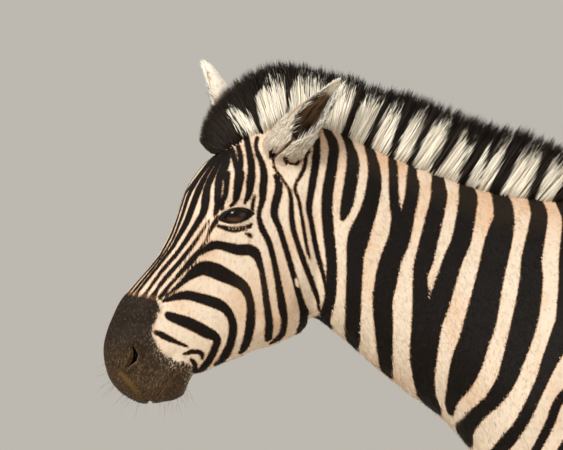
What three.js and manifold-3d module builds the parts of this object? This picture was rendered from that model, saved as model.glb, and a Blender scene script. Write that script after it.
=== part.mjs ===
// A plains zebra standing square and still, at life size: about 1.34 m at the withers, head carried low and level.
// Millimetres, +Z up. The animal faces -Y and its left side is +X. The ground is z = 0, and the origin lies on it
// under the middle of the animal. Head, neck and trunk are one lofted body parted by thin cuts; the legs, ears,
// mane and tail grow out of it and stop a hair's breadth short of its surface.
import * as THREE from "three";
import { mergeVertices } from "three/addons/utils/BufferGeometryUtils.js";
import Module from "manifold-3d";

const wasm = await Module();
wasm.setup();

// ---------------------------------------------------------------- driving dimensions

const GAP = 0.3; // between neighbouring pieces
const BODY_CORNERS = 24; // round one section of the body
const LEG_CORNERS = 12;
const MANE_CORNERS = 10;
const HEAD_STATIONS = 18; // the first sections of BODY, which are sampled more closely than the rest
const HEAD_STEP = 0.75;

const EYE = { x: 80, y: -820, z: 1320, radius: 21 };
const NOSTRIL = { x: 40, y: -1004, z: 1077, depth: 12, width: 7, length: 15 };
const KNEE_Z = 408; // where the forearm is parted from the cannon
const HOCK_Z = 500; // where the thigh is parted from the cannon
const CORONET_Z = 74; // top of the hoof
const SOLE_ROUND = 2.4; // superellipse power of a hoof's outline
const LEG_ROUND = 2.2; // the same, of a leg's section

// Each leg is the left one of its pair, mirrored for the right, with its foot set forward (-) or back (+).
const FORE_STEP = { left: -28, right: 34 };
const HIND_STEP = { left: 22, right: -62 };
const FORE_PIVOT_Z = 900; // height where a step's slant starts
const HIND_PIVOT_Z = 1000;

// ---------------------------------------------------------------- tables of sections

// The body from muzzle to buttocks. Each section is a slanting slice:
// [top y, top z, bottom y, bottom z, half width, level of the widest part, roundness above, roundness below].
// The level is a share of the slice's height from its bottom. Roundness 2 is an ellipse, and more is squarer.
const BODY = [
  [-1007, 998, -990, 990, 6, 0.5, 2.0, 2.0], // upper lip's tip
  [-1027, 1010, -962, 992, 25, 0.5, 2.2, 2.2],
  [-1046, 1034, -934, 995, 39, 0.5, 2.3, 2.2],
  [-1055, 1065, -915, 1005, 47, 0.52, 2.3, 2.1],
  [-1056, 1092, -906, 1025, 51, 0.54, 2.3, 2.1], // nostrils
  [-1050, 1118, -897, 1040, 51, 0.55, 2.2, 2.1],
  [-1041, 1141, -880, 1045, 49, 0.55, 2.1, 2.1],
  [-1027, 1170, -858, 1055, 48, 0.54, 2.1, 2.1],
  [-1009, 1192, -836, 1064, 50, 0.52, 2.1, 2.1],
  [-987, 1216, -817, 1071, 54, 0.5, 2.1, 2.1],
  [-966, 1242, -798, 1080, 60, 0.5, 2.1, 2.1],
  [-950, 1269, -778, 1086, 67, 0.52, 2.1, 2.1],
  [-936, 1299, -759, 1091, 75, 0.56, 2.1, 2.05],
  [-925, 1327, -742, 1099, 84, 0.6, 2.15, 2.0],
  [-917, 1353, -725, 1107, 92, 0.63, 2.3, 2.0],
  [-903, 1381, -711, 1114, 96, 0.65, 2.4, 1.95], // eyes
  [-882, 1408, -700, 1125, 96, 0.65, 2.4, 1.95],
  [-859, 1428, -696, 1137, 92, 0.62, 2.3, 1.95],
  [-836, 1451, -691, 1139, 87, 0.58, 2.2, 2.0],
  [-808, 1474, -686, 1138, 83, 0.54, 2.0, 2.0],
  [-775, 1490, -680, 1136, 80, 0.5, 1.9, 2.0], // ears
  [-738, 1498, -674, 1132, 78, 0.46, 1.8, 2.0],
  [-703, 1496, -663, 1123, 77, 0.44, 1.7, 2.0], // throat
  [-668, 1488, -649, 1112, 77, 0.43, 1.65, 2.0],
  [-633, 1474, -632, 1099, 78, 0.43, 1.6, 2.0],
  [-595, 1456, -610, 1079, 80, 0.43, 1.6, 2.0],
  [-553, 1437, -584, 1056, 83, 0.43, 1.6, 2.0],
  [-511, 1420, -554, 1031, 87, 0.42, 1.6, 2.0],
  [-467, 1402, -523, 1006, 93, 0.42, 1.6, 2.0],
  [-423, 1386, -488, 982, 101, 0.41, 1.6, 2.0],
  [-380, 1371, -455, 954, 112, 0.4, 1.6, 2.05],
  [-336, 1362, -422, 917, 126, 0.4, 1.65, 2.1],
  [-290, 1355, -398, 880, 142, 0.4, 1.7, 2.15],
  [-240, 1348, -377, 842, 157, 0.41, 1.7, 2.2],
  [-185, 1341, -356, 800, 169, 0.42, 1.75, 2.2],
  [-130, 1335, -330, 758, 178, 0.43, 1.8, 2.2], // withers
  [-75, 1327, -290, 722, 188, 0.44, 1.8, 2.2],
  [-20, 1317, -230, 702, 202, 0.45, 1.85, 2.2],
  [45, 1307, -130, 690, 222, 0.45, 1.9, 2.2],
  [120, 1299, 0, 678, 243, 0.45, 1.95, 2.2],
  [200, 1294, 120, 666, 259, 0.45, 2.0, 2.2],
  [290, 1293, 240, 657, 268, 0.45, 2.05, 2.2], // barrel
  [380, 1297, 360, 656, 268, 0.46, 2.1, 2.2],
  [470, 1306, 470, 670, 259, 0.47, 2.15, 2.2],
  [550, 1317, 560, 700, 247, 0.49, 2.15, 2.2], // hips
  [625, 1323, 630, 742, 238, 0.52, 2.1, 2.2],
  [695, 1321, 690, 790, 232, 0.54, 2.1, 2.2],
  [760, 1309, 740, 835, 224, 0.55, 2.1, 2.2],
  [820, 1287, 785, 880, 210, 0.55, 2.1, 2.2],
  [870, 1254, 825, 925, 186, 0.54, 2.1, 2.2],
  [910, 1206, 865, 975, 150, 0.52, 2.1, 2.2],
  [936, 1150, 902, 1030, 100, 0.5, 2.1, 2.2],
  [946, 1104, 938, 1080, 24, 0.5, 2.0, 2.0], // buttocks
];
const MUZZLE_END = 7.4; // stations of BODY where the cuts run
const HEAD_END = 20.6;
const NECK_MIDDLE = 27;
const NECK_END = 34;
const CHEST_END = 39;
const BARREL_END = 44.5;

// The legs in level slices: [height, front y, back y, inner x, outer x].
const FORELEG = [
  [980, -330, -150, 70, 150], // inside the shoulder
  [900, -335, -112, 58, 186],
  [820, -325, -80, 54, 197],
  [760, -303, -60, 60, 195], // elbow
  [710, -283, -76, 70, 187],
  [660, -268, -104, 79, 179],
  [600, -257, -127, 86, 171],
  [540, -248, -141, 92, 164],
  [480, -241, -155, 95, 160],
  [445, -241, -159, 94, 161],
  [410, -244, -161, 92, 163], // knee
  [375, -239, -165, 94, 160],
  [345, -231, -169, 99, 155],
  [280, -226, -174, 104, 151],
  [225, -227, -170, 102, 153],
  [192, -233, -161, 96, 158], // fetlock
  [160, -241, -169, 99, 156],
  [130, -252, -187, 100, 155],
  [104, -263, -195, 97, 158],
  [CORONET_Z, -274, -192, 91, 164],
];
const HIND_LEG = [
  [1120, 640, 900, 40, 190], // inside the rump
  [1040, 612, 936, 34, 214],
  [960, 585, 932, 28, 221],
  [890, 563, 914, 24, 218],
  [825, 552, 886, 28, 206], // stifle
  [772, 568, 860, 38, 190],
  [720, 606, 840, 50, 174],
  [670, 650, 832, 62, 164],
  [620, 697, 842, 73, 156],
  [582, 732, 866, 80, 151],
  [555, 752, 902, 83, 150],
  [530, 767, 908, 85, 150], // hock
  [500, 783, 896, 87, 150],
  [462, 801, 876, 92, 146],
  [415, 812, 866, 98, 141],
  [350, 818, 866, 100, 138],
  [280, 820, 868, 100, 138],
  [232, 817, 872, 98, 140],
  [196, 809, 878, 92, 146], // fetlock
  [164, 797, 866, 95, 143],
  [133, 782, 845, 97, 141],
  [104, 768, 834, 94, 144],
  [CORONET_Z, 755, 838, 88, 150],
];
// Hooves: [height, front y, back y, inner x, outer x], from the sole up to the coronet.
const FORE_HOOF = [
  [0, -314, -196, 84, 171],
  [40, -292, -194, 87, 168],
  [CORONET_Z, -275, -191, 90, 165],
];
const HIND_HOOF = [
  [0, 722, 834, 81, 157],
  [40, 740, 837, 84, 154],
  [CORONET_Z, 754, 839, 87, 151],
];

// The mane, from its forelock to the withers, in the same eight numbers as BODY with the tip for the top.
const MANE = [
  [-873, 1436, -845, 1430, 9, 0.5, 2, 2],
  [-887, 1450, -838, 1422, 17, 0.55, 2.2, 2.6],
  [-880, 1486, -826, 1432, 21, 0.6, 2.2, 3],
  [-862, 1519, -808, 1446, 23, 0.62, 2.2, 3],
  [-834, 1549, -786, 1460, 24, 0.62, 2.2, 3],
  [-799, 1574, -759, 1468, 25, 0.62, 2.2, 3],
  [-764, 1590, -730, 1474, 25, 0.62, 2.2, 3],
  [-722, 1592, -700, 1474, 25, 0.62, 2.2, 3],
  [-676, 1583, -662, 1466, 25, 0.62, 2.2, 3],
  [-630, 1571, -622, 1450, 25, 0.62, 2.2, 3],
  [-578, 1551, -578, 1428, 25, 0.62, 2.2, 3],
  [-520, 1538, -528, 1406, 25, 0.62, 2.2, 3],
  [-458, 1518, -472, 1384, 25, 0.62, 2.2, 3],
  [-398, 1493, -416, 1364, 24, 0.62, 2.2, 3],
  [-340, 1479, -360, 1348, 24, 0.62, 2.2, 3],
  [-286, 1463, -306, 1338, 23, 0.62, 2.2, 3],
  [-232, 1432, -252, 1330, 21, 0.6, 2.2, 2.8],
  [-178, 1392, -196, 1324, 17, 0.58, 2.2, 2.6],
  [-140, 1352, -150, 1318, 9, 0.5, 2, 2],
];
const FORELOCK_END = 5.5; // stations of MANE where it is parted
const MANE_MIDDLE = 11.5;

// The tail hangs close behind the buttocks: [y, z, radius along y, radius along x].
const DOCK = [
  [866, 1226, 26, 30],
  [904, 1226, 26, 29],
  [942, 1202, 25, 27],
  [970, 1156, 23, 24],
  [984, 1098, 21, 21],
  [990, 1030, 19, 19],
  [994, 960, 18, 18],
  [997, 890, 17, 17],
  [999, 850, 16, 16],
];
const TUFT = [
  [999, 850, 17, 17],
  [1001, 800, 27, 25],
  [1003, 730, 35, 32],
  [1003, 660, 36, 33],
  [1001, 590, 31, 28],
  [998, 530, 22, 20],
  [995, 480, 6, 6],
];

// Soft swellings of muscle and bone: [x, y, z, reach in x, reach in y, reach in z, height]. Each has its mirror twin.
const SWELLINGS = [
  [92, -838, 1351, 45, 26, 16, 8], // brow over the eye
  [88, -875, 1292, 40, 60, 20, 3], // cheekbone's ridge
  [75, -755, 1205, 60, 62, 62, 6], // jowl
  [45, -1012, 1085, 30, 26, 24, 5], // nostril's flare
  [36, -958, 1040, 40, 30, 24, 4], // lips
  [80, -905, 1190, 40, 40, 40, -4], // hollow behind the nostril
  [90, -770, 1415, 40, 30, 30, -7], // hollow over the eye's rear
  [70, -668, 1260, 60, 30, 110, -5], // hollow behind the jowl
  [180, -190, 1120, 90, 80, 150, 10], // shoulder blade
  [190, -300, 890, 90, 70, 90, 16], // point of the shoulder
  [205, -60, 980, 90, 70, 110, -8], // hollow behind the shoulder
  [60, -385, 850, 60, 60, 60, 6], // breast
  [235, 620, 1215, 90, 70, 60, 8], // point of the hip
  [238, 500, 1020, 90, 90, 130, -12], // flank's hollow
  [210, 800, 1100, 90, 110, 150, 12], // haunch
];

// An ear: a scoop bent out of sheet, [share of its length, radius, half the opening in degrees, shift forward].
const EAR_SCOOP = [
  [-0.17, 22, 5, -16],
  [0, 34, 5, -2],
  [0.14, 36, 7, 3],
  [0.26, 34, 26, 6],
  [0.4, 32, 52, 9],
  [0.56, 27.5, 74, 10],
  [0.72, 21, 88, 8],
  [0.86, 15.5, 96, 4],
  [0.95, 10.5, 100, 1],
  [1, 5.5, 100, 0],
];
const EAR_SHEET = 5; // thickness at the root
const EAR_TIP_SHEET = 3;
const EAR_ARC = 5; // steps across the scoop
// The left ear is laid back with its mouth to the side, and the right one is pricked forward.
const EARS = {
  left: { root: [60, -745, 1436], tip: [80, -643, 1549], mouth: [1, 0.12, -0.1] },
  right: { root: [-60, -784, 1430], tip: [-78, -877, 1587], mouth: [-0.55, -0.8, -0.5] },
};

// ---------------------------------------------------------------- colours

const coat = new THREE.MeshStandardMaterial({ color: 0xe6d2b6, roughness: 0.85 });
const darkSkin = new THREE.MeshStandardMaterial({ color: 0x2b241f, roughness: 0.6 });
const blackHair = new THREE.MeshStandardMaterial({ color: 0x1e1a17, roughness: 0.9 });
const horn = new THREE.MeshStandardMaterial({ color: 0x3a342e, roughness: 0.5 });
const wetEye = new THREE.MeshStandardMaterial({ color: 0x1a0f0a, roughness: 0.08 });

// ---------------------------------------------------------------- shapes

// The row of numbers at station t of a table, on a smooth curve through its rows.
function rowAt(table, t) {
  const last = table.length - 1;
  const i = Math.min(Math.floor(t), last - 1);
  const f = t - i;
  const row = (k) => table[Math.min(Math.max(k, 0), last)];
  return table[0].map((_, c) => {
    const [a, b, d, e] = [row(i - 1)[c], row(i)[c], row(i + 1)[c], row(i + 2)[c]];
    return b + 0.5 * f * (d - a + f * (2 * a - 5 * b + 4 * d - e + f * (3 * (b - d) + e - a)));
  });
}

// How far the swellings lift the surface at a point.
function swelling(p) {
  return SWELLINGS.reduce((sum, [x, y, z, rx, ry, rz, height]) => {
    const d = ((Math.abs(p.x) - x) / rx) ** 2 + ((p.y - y) / ry) ** 2 + ((p.z - z) / rz) ** 2;
    return sum + height * Math.exp(-d);
  }, 0);
}

// A cosine or sine bent to a superellipse's corner.
const squared = (value, power) => Math.sign(value) * Math.abs(value) ** (2 / power);

// One slanting slice of the body or mane, as a loop of points, grown outwards by `grow`.
function slice([ty, tz, by, bz, half, level, above, below], corners, grow = 0, lift = () => 0) {
  const top = new THREE.Vector3(0, ty, tz);
  const bottom = new THREE.Vector3(0, by, bz);
  const up = top.clone().sub(bottom);
  const middle = bottom.clone().addScaledVector(up, level);
  return Array.from({ length: corners }, (_, i) => {
    const angle = (2 * Math.PI * i) / corners;
    const high = Math.cos(angle) >= 0;
    const round = high ? above : below;
    const rise = squared(Math.cos(angle), round) * (high ? 1 - level : level);
    const point = middle.clone().addScaledVector(up, rise);
    point.x = half * squared(Math.sin(angle), round);
    const out = point.clone().sub(middle).normalize();
    return point.addScaledVector(out, lift(point) + grow);
  });
}

// One level slice of a leg or hoof. Mirrored to the right side it keeps its winding by running the other way.
function levelSlice([z, front, back, inner, outer], side, shift, corners, round) {
  return Array.from({ length: corners }, (_, i) => {
    const angle = (-side * 2 * Math.PI * i) / corners;
    const x = (inner + outer) / 2 + ((outer - inner) / 2) * squared(Math.sin(angle), round) * side;
    const y = (front + back) / 2 - ((back - front) / 2) * squared(Math.cos(angle), round) + shift;
    return new THREE.Vector3(side * x, y, z);
  });
}

// A closed skin over loops of points, with a fan at each end.
function skinOver(loops) {
  const count = loops[0].length;
  const middle = (loop) =>
    loop.reduce((sum, p) => sum.add(p), new THREE.Vector3()).divideScalar(loop.length);
  const points = [...loops.flat(), middle(loops[0]), middle(loops[loops.length - 1])];
  const first = loops.length * count;
  const faces = [];
  for (let i = 0; i < count; i++) {
    const j = (i + 1) % count;
    faces.push(first, i, j);
    for (let r = 0; r < loops.length - 1; r++) {
      const [a, b] = [r * count, (r + 1) * count];
      faces.push(a + i, b + i, b + j, a + i, b + j, a + j);
    }
    faces.push(first + 1, (loops.length - 1) * count + j, (loops.length - 1) * count + i);
  }
  return new THREE.BufferGeometry().setFromPoints(points).setIndex(faces);
}

// A three.js geometry as a manifold-3d solid, turned right side out if its loops ran the other way.
function solidOf(geometry) {
  geometry.deleteAttribute("normal");
  geometry.deleteAttribute("uv");
  const merged = mergeVertices(geometry, 1e-3);
  const triVerts = new Uint32Array(merged.index.array);
  const made = (order) =>
    new wasm.Manifold(
      new wasm.Mesh({ numProp: 3, vertProperties: merged.attributes.position.array, triVerts: order }),
    );
  const solid = made(triVerts);
  return solid.volume() > 0 ? solid : made(triVerts.map((_, i) => triVerts[i - (i % 3) + 2 - (i % 3)]));
}

// A solid back as a named mesh of the model, without the crumbs that a cut may leave.
function pieceOf(name, solid, material) {
  const [largest] = solid.decompose().sort((a, b) => b.volume() - a.volume());
  const { vertProperties, triVerts, numProp } = largest.getMesh();
  const positions = new Float32Array((vertProperties.length / numProp) * 3).map(
    (_, i) => vertProperties[Math.floor(i / 3) * numProp + (i % 3)],
  );
  const geometry = new THREE.BufferGeometry()
    .setAttribute("position", new THREE.BufferAttribute(positions, 3))
    .setIndex(new THREE.BufferAttribute(triVerts, 1));
  geometry.computeVertexNormals();
  const mesh = new THREE.Mesh(geometry, material);
  mesh.name = name;
  return mesh;
}

// ---------------------------------------------------------------- cuts

// The plane of one slice of a table, as [normal towards later slices, distance from the origin].
function planeAt(table, station) {
  const [ty, tz, by, bz] = rowAt(table, station);
  const normal = new THREE.Vector3(0, -(tz - bz), ty - by).normalize().negate();
  return [normal.toArray(), normal.dot(new THREE.Vector3(0, ty, tz))];
}

const flipped = ([normal, distance]) => [normal.map((v) => -v), -distance];
const keep = (solid, [normal, distance]) => solid.trimByPlane(normal, distance + GAP / 2);
const level = (z) => [[0, 0, 1], z];

// A solid parted by planes in order, with a gap at each.
function parted(solid, planes) {
  const pieces = [];
  let rest = solid;
  for (const plane of planes) {
    pieces.push(keep(rest, flipped(plane)));
    rest = keep(rest, plane);
  }
  return [...pieces, rest];
}

// ---------------------------------------------------------------- body

function bodySolid(grow = 0) {
  const stations = [];
  for (let s = 0; s < HEAD_STATIONS; s += HEAD_STEP) stations.push(s);
  for (let s = HEAD_STATIONS; s < BODY.length; s++) stations.push(s);
  return solidOf(skinOver(stations.map((s) => slice(rowAt(BODY, s), BODY_CORNERS, grow, swelling))));
}

function ball(radii, [x, y, z], turn = 0, around = 12, down = 7) {
  const shape = new THREE.SphereGeometry(1, around, down).scale(...radii).rotateX(turn);
  return solidOf(shape.translate(x, y, z));
}

const eyeBall = (side, grow = 0) =>
  ball(Array(3).fill(EYE.radius + grow), [side * EYE.x, EYE.y, EYE.z]);

function nostrilPit(side) {
  const { x, y, z, depth, width, length } = NOSTRIL;
  return ball([depth, width, length], [side * (x + depth / 2), y, z], -0.35, 8, 6);
}

const body = bodySolid();
const grownBody = bodySolid(GAP);

function bodyPieces() {
  const carved = [1, -1].reduce(
    (solid, side) => solid.subtract(eyeBall(side, GAP)).subtract(nostrilPit(side)),
    body,
  );
  const stations = [MUZZLE_END, HEAD_END, NECK_MIDDLE, NECK_END, CHEST_END, BARREL_END];
  const [mouth, ...others] = parted(carved, stations.map((s) => planeAt(BODY, s)));
  // The lips part on a plane from the front of the mouth to its corner.
  const [front, corner] = [new THREE.Vector3(0, -966, 998), new THREE.Vector3(0, -908, 1071)];
  const lipNormal = new THREE.Vector3(1, 0, 0).cross(corner.clone().sub(front)).normalize();
  const [chin, muzzle] = parted(mouth, [[lipNormal.toArray(), lipNormal.dot(front)]]).sort(
    (a, b) => a.volume() - b.volume(),
  );
  const names = ["head", "neck_upper", "neck_lower", "chest", "barrel", "hindquarters"];
  return [
    pieceOf("muzzle", muzzle, darkSkin),
    pieceOf("chin", chin, darkSkin),
    ...others.map((solid, i) => pieceOf(names[i], solid, coat)),
    pieceOf("eye_left", eyeBall(1), wetEye),
    pieceOf("eye_right", eyeBall(-1), wetEye),
  ];
}

// ---------------------------------------------------------------- legs

// A leg's slices, each moved by its share of the step: none at the pivot, all of it at the coronet.
function steppedLoft(table, side, step, pivotZ, corners, round) {
  const share = (z) => Math.min(Math.max((pivotZ - z) / (pivotZ - CORONET_Z), 0), 1);
  return solidOf(skinOver(table.map((row) => levelSlice(row, side, step * share(row[0]), corners, round))));
}

function legPieces(prefix, table, hoofTable, side, step, pivotZ, jointZ, upperName) {
  const whole = steppedLoft(table, side, step, pivotZ, LEG_CORNERS, LEG_ROUND);
  const hoof = steppedLoft(hoofTable, side, step, pivotZ, LEG_CORNERS, SOLE_ROUND);
  const [lower, upper] = parted(whole.subtract(grownBody), [level(jointZ)]);
  return [
    pieceOf(`${prefix}_${upperName}`, upper, coat),
    pieceOf(`${prefix}_cannon`, lower, coat),
    pieceOf(`${prefix}_hoof`, keep(hoof, flipped(level(CORONET_Z - GAP))), horn),
  ];
}

function allLegs() {
  const sides = { left: 1, right: -1 };
  return Object.entries(sides).flatMap(([name, side]) => [
    ...legPieces(`fore_${name}`, FORELEG, FORE_HOOF, side, FORE_STEP[name], FORE_PIVOT_Z, KNEE_Z, "forearm"),
    ...legPieces(`hind_${name}`, HIND_LEG, HIND_HOOF, side, HIND_STEP[name], HIND_PIVOT_Z, HOCK_Z, "thigh"),
  ]);
}

// ---------------------------------------------------------------- mane, tail and ears

function manePieces() {
  const loops = MANE.map((row) => slice(row, MANE_CORNERS));
  const hair = solidOf(skinOver(loops)).subtract(grownBody);
  const names = ["forelock", "mane_upper", "mane_lower"];
  return parted(hair, [FORELOCK_END, MANE_MIDDLE].map((s) => planeAt(MANE, s))).map((solid, i) =>
    pieceOf(names[i], solid, blackHair),
  );
}

// A hanging tube: each row is a loop square to the line from the row before to the row after.
function hanging(table) {
  const loops = table.map(([y, z, along, across], i) => {
    const before = table[Math.max(i - 1, 0)];
    const after = table[Math.min(i + 1, table.length - 1)];
    const way = new THREE.Vector3(0, after[0] - before[0], after[1] - before[1]).normalize();
    const out = new THREE.Vector3(1, 0, 0).cross(way);
    return Array.from({ length: MANE_CORNERS }, (_, k) => {
      const angle = (2 * Math.PI * k) / MANE_CORNERS;
      return new THREE.Vector3(across * Math.cos(angle), y, z).addScaledVector(out, along * Math.sin(angle));
    });
  });
  return solidOf(skinOver(loops));
}

function tailPieces() {
  const dock = hanging(DOCK).subtract(grownBody);
  const cut = DOCK[DOCK.length - 1][1];
  return [
    pieceOf("tail_dock", keep(dock, level(cut)), coat),
    pieceOf("tail_tuft", keep(hanging(TUFT), flipped(level(cut - GAP))), blackHair),
  ];
}

// One ear as a scoop: at each share of its length the sheet runs round the back from edge to edge and home inside.
function earSolid({ root, tip, mouth }) {
  const base = new THREE.Vector3(...root);
  const axis = new THREE.Vector3(...tip).sub(base);
  const length = axis.length();
  axis.normalize();
  const open = new THREE.Vector3(...mouth);
  open.addScaledVector(axis, -open.dot(axis)).normalize();
  const side = new THREE.Vector3().crossVectors(axis, open);
  const loops = EAR_SCOOP.map(([share, radius, openDegrees, shift]) => {
    const centre = base.clone().addScaledVector(axis, share * length).addScaledVector(open, shift);
    const sheet = THREE.MathUtils.lerp(EAR_SHEET, EAR_TIP_SHEET, share);
    const edge = THREE.MathUtils.degToRad(openDegrees);
    const arc = (reach) =>
      Array.from({ length: EAR_ARC + 1 }, (_, i) => {
        const angle = edge + (i / EAR_ARC) * 2 * (Math.PI - edge);
        const deep = Math.cos(angle) * reach + radius * Math.max(0, -Math.cos(edge)) * 0.6;
        return centre.clone().addScaledVector(open, deep).addScaledVector(side, Math.sin(angle) * reach);
      });
    return [...arc(radius), ...arc(Math.max(radius - sheet, radius * 0.3)).reverse()];
  });
  return solidOf(skinOver(loops)).subtract(grownBody);
}

const earPieces = () =>
  Object.entries(EARS).map(([name, ear]) => pieceOf(`ear_${name}`, earSolid(ear), coat));

// ---------------------------------------------------------------- the animal

const zebra = new THREE.Group();
zebra.name = "zebra";
zebra.add(...bodyPieces(), ...earPieces(), ...manePieces(), ...allLegs(), ...tailPieces());

export default zebra;
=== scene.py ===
"""A plains zebra standing still: one skin with its markings, eyes, hooves, mane, tail and coat, in metres.

The animal faces -Y, its left side is +X and the ground is z = 0. Sizes in the tables are millimetres.
"""
import logging
import math
from collections.abc import Iterator
from dataclasses import dataclass, field
from enum import Enum
from functools import cached_property

import bmesh
import bpy
import numpy as np
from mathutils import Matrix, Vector
from mathutils.bvhtree import BVHTree
from mathutils.kdtree import KDTree


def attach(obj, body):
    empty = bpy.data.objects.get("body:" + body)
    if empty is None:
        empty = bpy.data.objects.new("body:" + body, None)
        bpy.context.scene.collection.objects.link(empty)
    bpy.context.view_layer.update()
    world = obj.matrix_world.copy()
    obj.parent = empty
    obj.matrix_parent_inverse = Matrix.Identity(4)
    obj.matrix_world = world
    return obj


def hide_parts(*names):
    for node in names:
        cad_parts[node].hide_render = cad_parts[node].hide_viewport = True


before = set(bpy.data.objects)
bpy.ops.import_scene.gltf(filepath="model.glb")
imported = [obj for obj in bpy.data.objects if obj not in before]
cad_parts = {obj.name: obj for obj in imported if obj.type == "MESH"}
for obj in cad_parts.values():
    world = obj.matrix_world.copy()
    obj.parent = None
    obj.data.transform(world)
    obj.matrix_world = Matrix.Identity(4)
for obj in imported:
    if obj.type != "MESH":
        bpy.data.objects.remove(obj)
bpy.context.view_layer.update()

log = logging.getLogger("zebra")
MM = 0.001

# Short names for types.
Array = np.ndarray
Faces = list[tuple[int, ...]]
Triple = tuple[float, float, float]
Chance = np.random.Generator
Mesh, Material, Piece, Socket = bpy.types.Mesh, bpy.types.Material, bpy.types.Object, bpy.types.NodeSocket


def numbers(text: str) -> Array:
    """Reads rows of numbers: blanks part the rows, commas the numbers."""
    return np.array([[float(n) for n in row.split(",")] for row in text.split()])


# ------------------------------------------------------------------ the animal's measures, in millimetres

# Slanting sections from muzzle to buttocks:
# top y, top z, bottom y, bottom z, half width, level of the widest part, roundness above, roundness below.
BODY = numbers("""
-1007,998,-990,990,6,.5,2,2 -1027,1010,-962,992,25,.5,2.2,2.2 -1046,1034,-934,995,39,.5,2.3,2.2
-1055,1065,-915,1005,47,.52,2.3,2.1 -1056,1092,-906,1025,51,.54,2.3,2.1 -1050,1118,-897,1040,51,.55,2.2,2.1
-1041,1141,-880,1045,49,.55,2.1,2.1 -1027,1170,-858,1055,48,.54,2.1,2.1 -1009,1192,-836,1064,50,.52,2.1,2.1
-987,1216,-817,1071,54,.5,2.1,2.1 -966,1242,-798,1080,60,.5,2.1,2.1 -950,1269,-778,1086,67,.52,2.1,2.1
-936,1299,-759,1091,75,.56,2.1,2.05 -925,1327,-742,1099,84,.6,2.15,2 -917,1353,-725,1107,92,.63,2.3,2
-903,1381,-711,1114,96,.65,2.4,1.95 -882,1408,-700,1125,96,.65,2.4,1.95 -859,1428,-696,1137,92,.62,2.3,1.95
-836,1451,-691,1139,87,.58,2.2,2 -808,1474,-686,1138,83,.54,2,2 -775,1490,-680,1136,80,.5,1.9,2
-738,1498,-674,1132,78,.46,1.8,2 -703,1496,-663,1123,77,.44,1.7,2 -668,1488,-649,1112,77,.43,1.65,2
-633,1474,-632,1099,78,.43,1.6,2 -595,1456,-610,1079,80,.43,1.6,2 -553,1437,-584,1056,83,.43,1.6,2
-511,1420,-554,1031,87,.42,1.6,2 -467,1402,-523,1006,93,.42,1.6,2 -423,1386,-488,982,101,.41,1.6,2
-380,1371,-455,954,112,.4,1.6,2.05 -336,1362,-422,917,126,.4,1.65,2.1 -290,1355,-398,880,142,.4,1.7,2.15
-240,1348,-377,842,157,.41,1.7,2.2 -185,1341,-356,800,169,.42,1.75,2.2 -130,1335,-330,758,178,.43,1.8,2.2
-75,1327,-290,722,188,.44,1.8,2.2 -20,1317,-230,702,202,.45,1.85,2.2 45,1307,-130,690,222,.45,1.9,2.2
120,1299,0,678,243,.45,1.95,2.2 200,1294,120,666,259,.45,2,2.2 290,1293,240,657,268,.45,2.05,2.2
380,1297,360,656,268,.46,2.1,2.2 470,1306,470,670,259,.47,2.15,2.2 550,1317,560,700,247,.49,2.15,2.2
625,1323,630,742,238,.52,2.1,2.2 695,1321,690,790,232,.54,2.1,2.2 760,1309,740,835,224,.55,2.1,2.2
820,1287,785,880,210,.55,2.1,2.2 870,1254,825,925,186,.54,2.1,2.2 910,1206,865,975,150,.52,2.1,2.2
936,1150,902,1030,100,.5,2.1,2.2 946,1104,938,1080,24,.5,2,2
""")

# Level sections from the top down: z, front y, back y, inner and outer distance from the middle plane.
FORELEG = numbers("""
980,-330,-150,70,150 900,-335,-112,58,186 820,-325,-80,54,197 760,-303,-60,60,195 710,-283,-76,70,187
660,-268,-104,79,179 600,-257,-127,86,171 540,-248,-141,92,164 480,-241,-155,95,160 445,-241,-159,94,161
410,-244,-161,92,163 375,-239,-165,94,160 345,-231,-169,99,155 280,-226,-174,104,151 225,-227,-170,102,153
192,-233,-161,96,158 160,-241,-169,99,156 130,-252,-187,100,155 104,-263,-195,97,158 76,-273,-192,91,164
66,-278,-191,89,165
""")
HIND_LEG = numbers("""
1120,640,900,40,190 1040,612,936,34,214 960,585,932,28,221 890,563,914,24,218 825,552,886,28,206
772,568,860,38,190 720,606,840,50,174 670,650,832,62,164 620,697,842,73,156 582,732,866,80,151
555,752,902,83,150 530,767,908,85,150 500,783,896,87,150 462,801,876,92,146 415,812,866,98,141
350,818,866,100,138 280,820,868,100,138 232,817,872,98,140 196,809,878,92,146 164,797,866,95,143
133,782,845,97,141 104,768,834,94,144 76,756,838,88,150 66,751,839,86,152
""")
FORE_HOOF = numbers("0,-314,-196,84,171 40,-292,-194,87,168 74,-275,-191,90,165")
HIND_HOOF = numbers("0,722,834,81,157 40,740,837,84,154 74,754,839,87,151")

# The mane, in the same eight numbers as BODY, with the hair's tips for the top.
MANE = numbers("""
-873,1436,-845,1430,9,.5,2,2 -887,1450,-838,1422,17,.55,2.2,2.6 -880,1486,-826,1432,21,.6,2.2,3
-862,1519,-808,1446,23,.62,2.2,3 -834,1549,-786,1460,24,.62,2.2,3 -799,1574,-759,1468,25,.62,2.2,3
-764,1590,-730,1474,25,.62,2.2,3 -722,1592,-700,1474,25,.62,2.2,3 -676,1583,-662,1466,25,.62,2.2,3
-630,1571,-622,1450,25,.62,2.2,3 -578,1551,-578,1428,25,.62,2.2,3 -520,1538,-528,1406,25,.62,2.2,3
-458,1518,-472,1384,25,.62,2.2,3 -398,1493,-416,1364,24,.62,2.2,3 -340,1479,-360,1348,24,.62,2.2,3
-286,1463,-306,1338,23,.62,2.2,3 -232,1432,-252,1330,21,.6,2.2,2.8 -178,1392,-196,1324,17,.58,2.2,2.6
-140,1352,-150,1318,9,.5,2,2
""")

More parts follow.
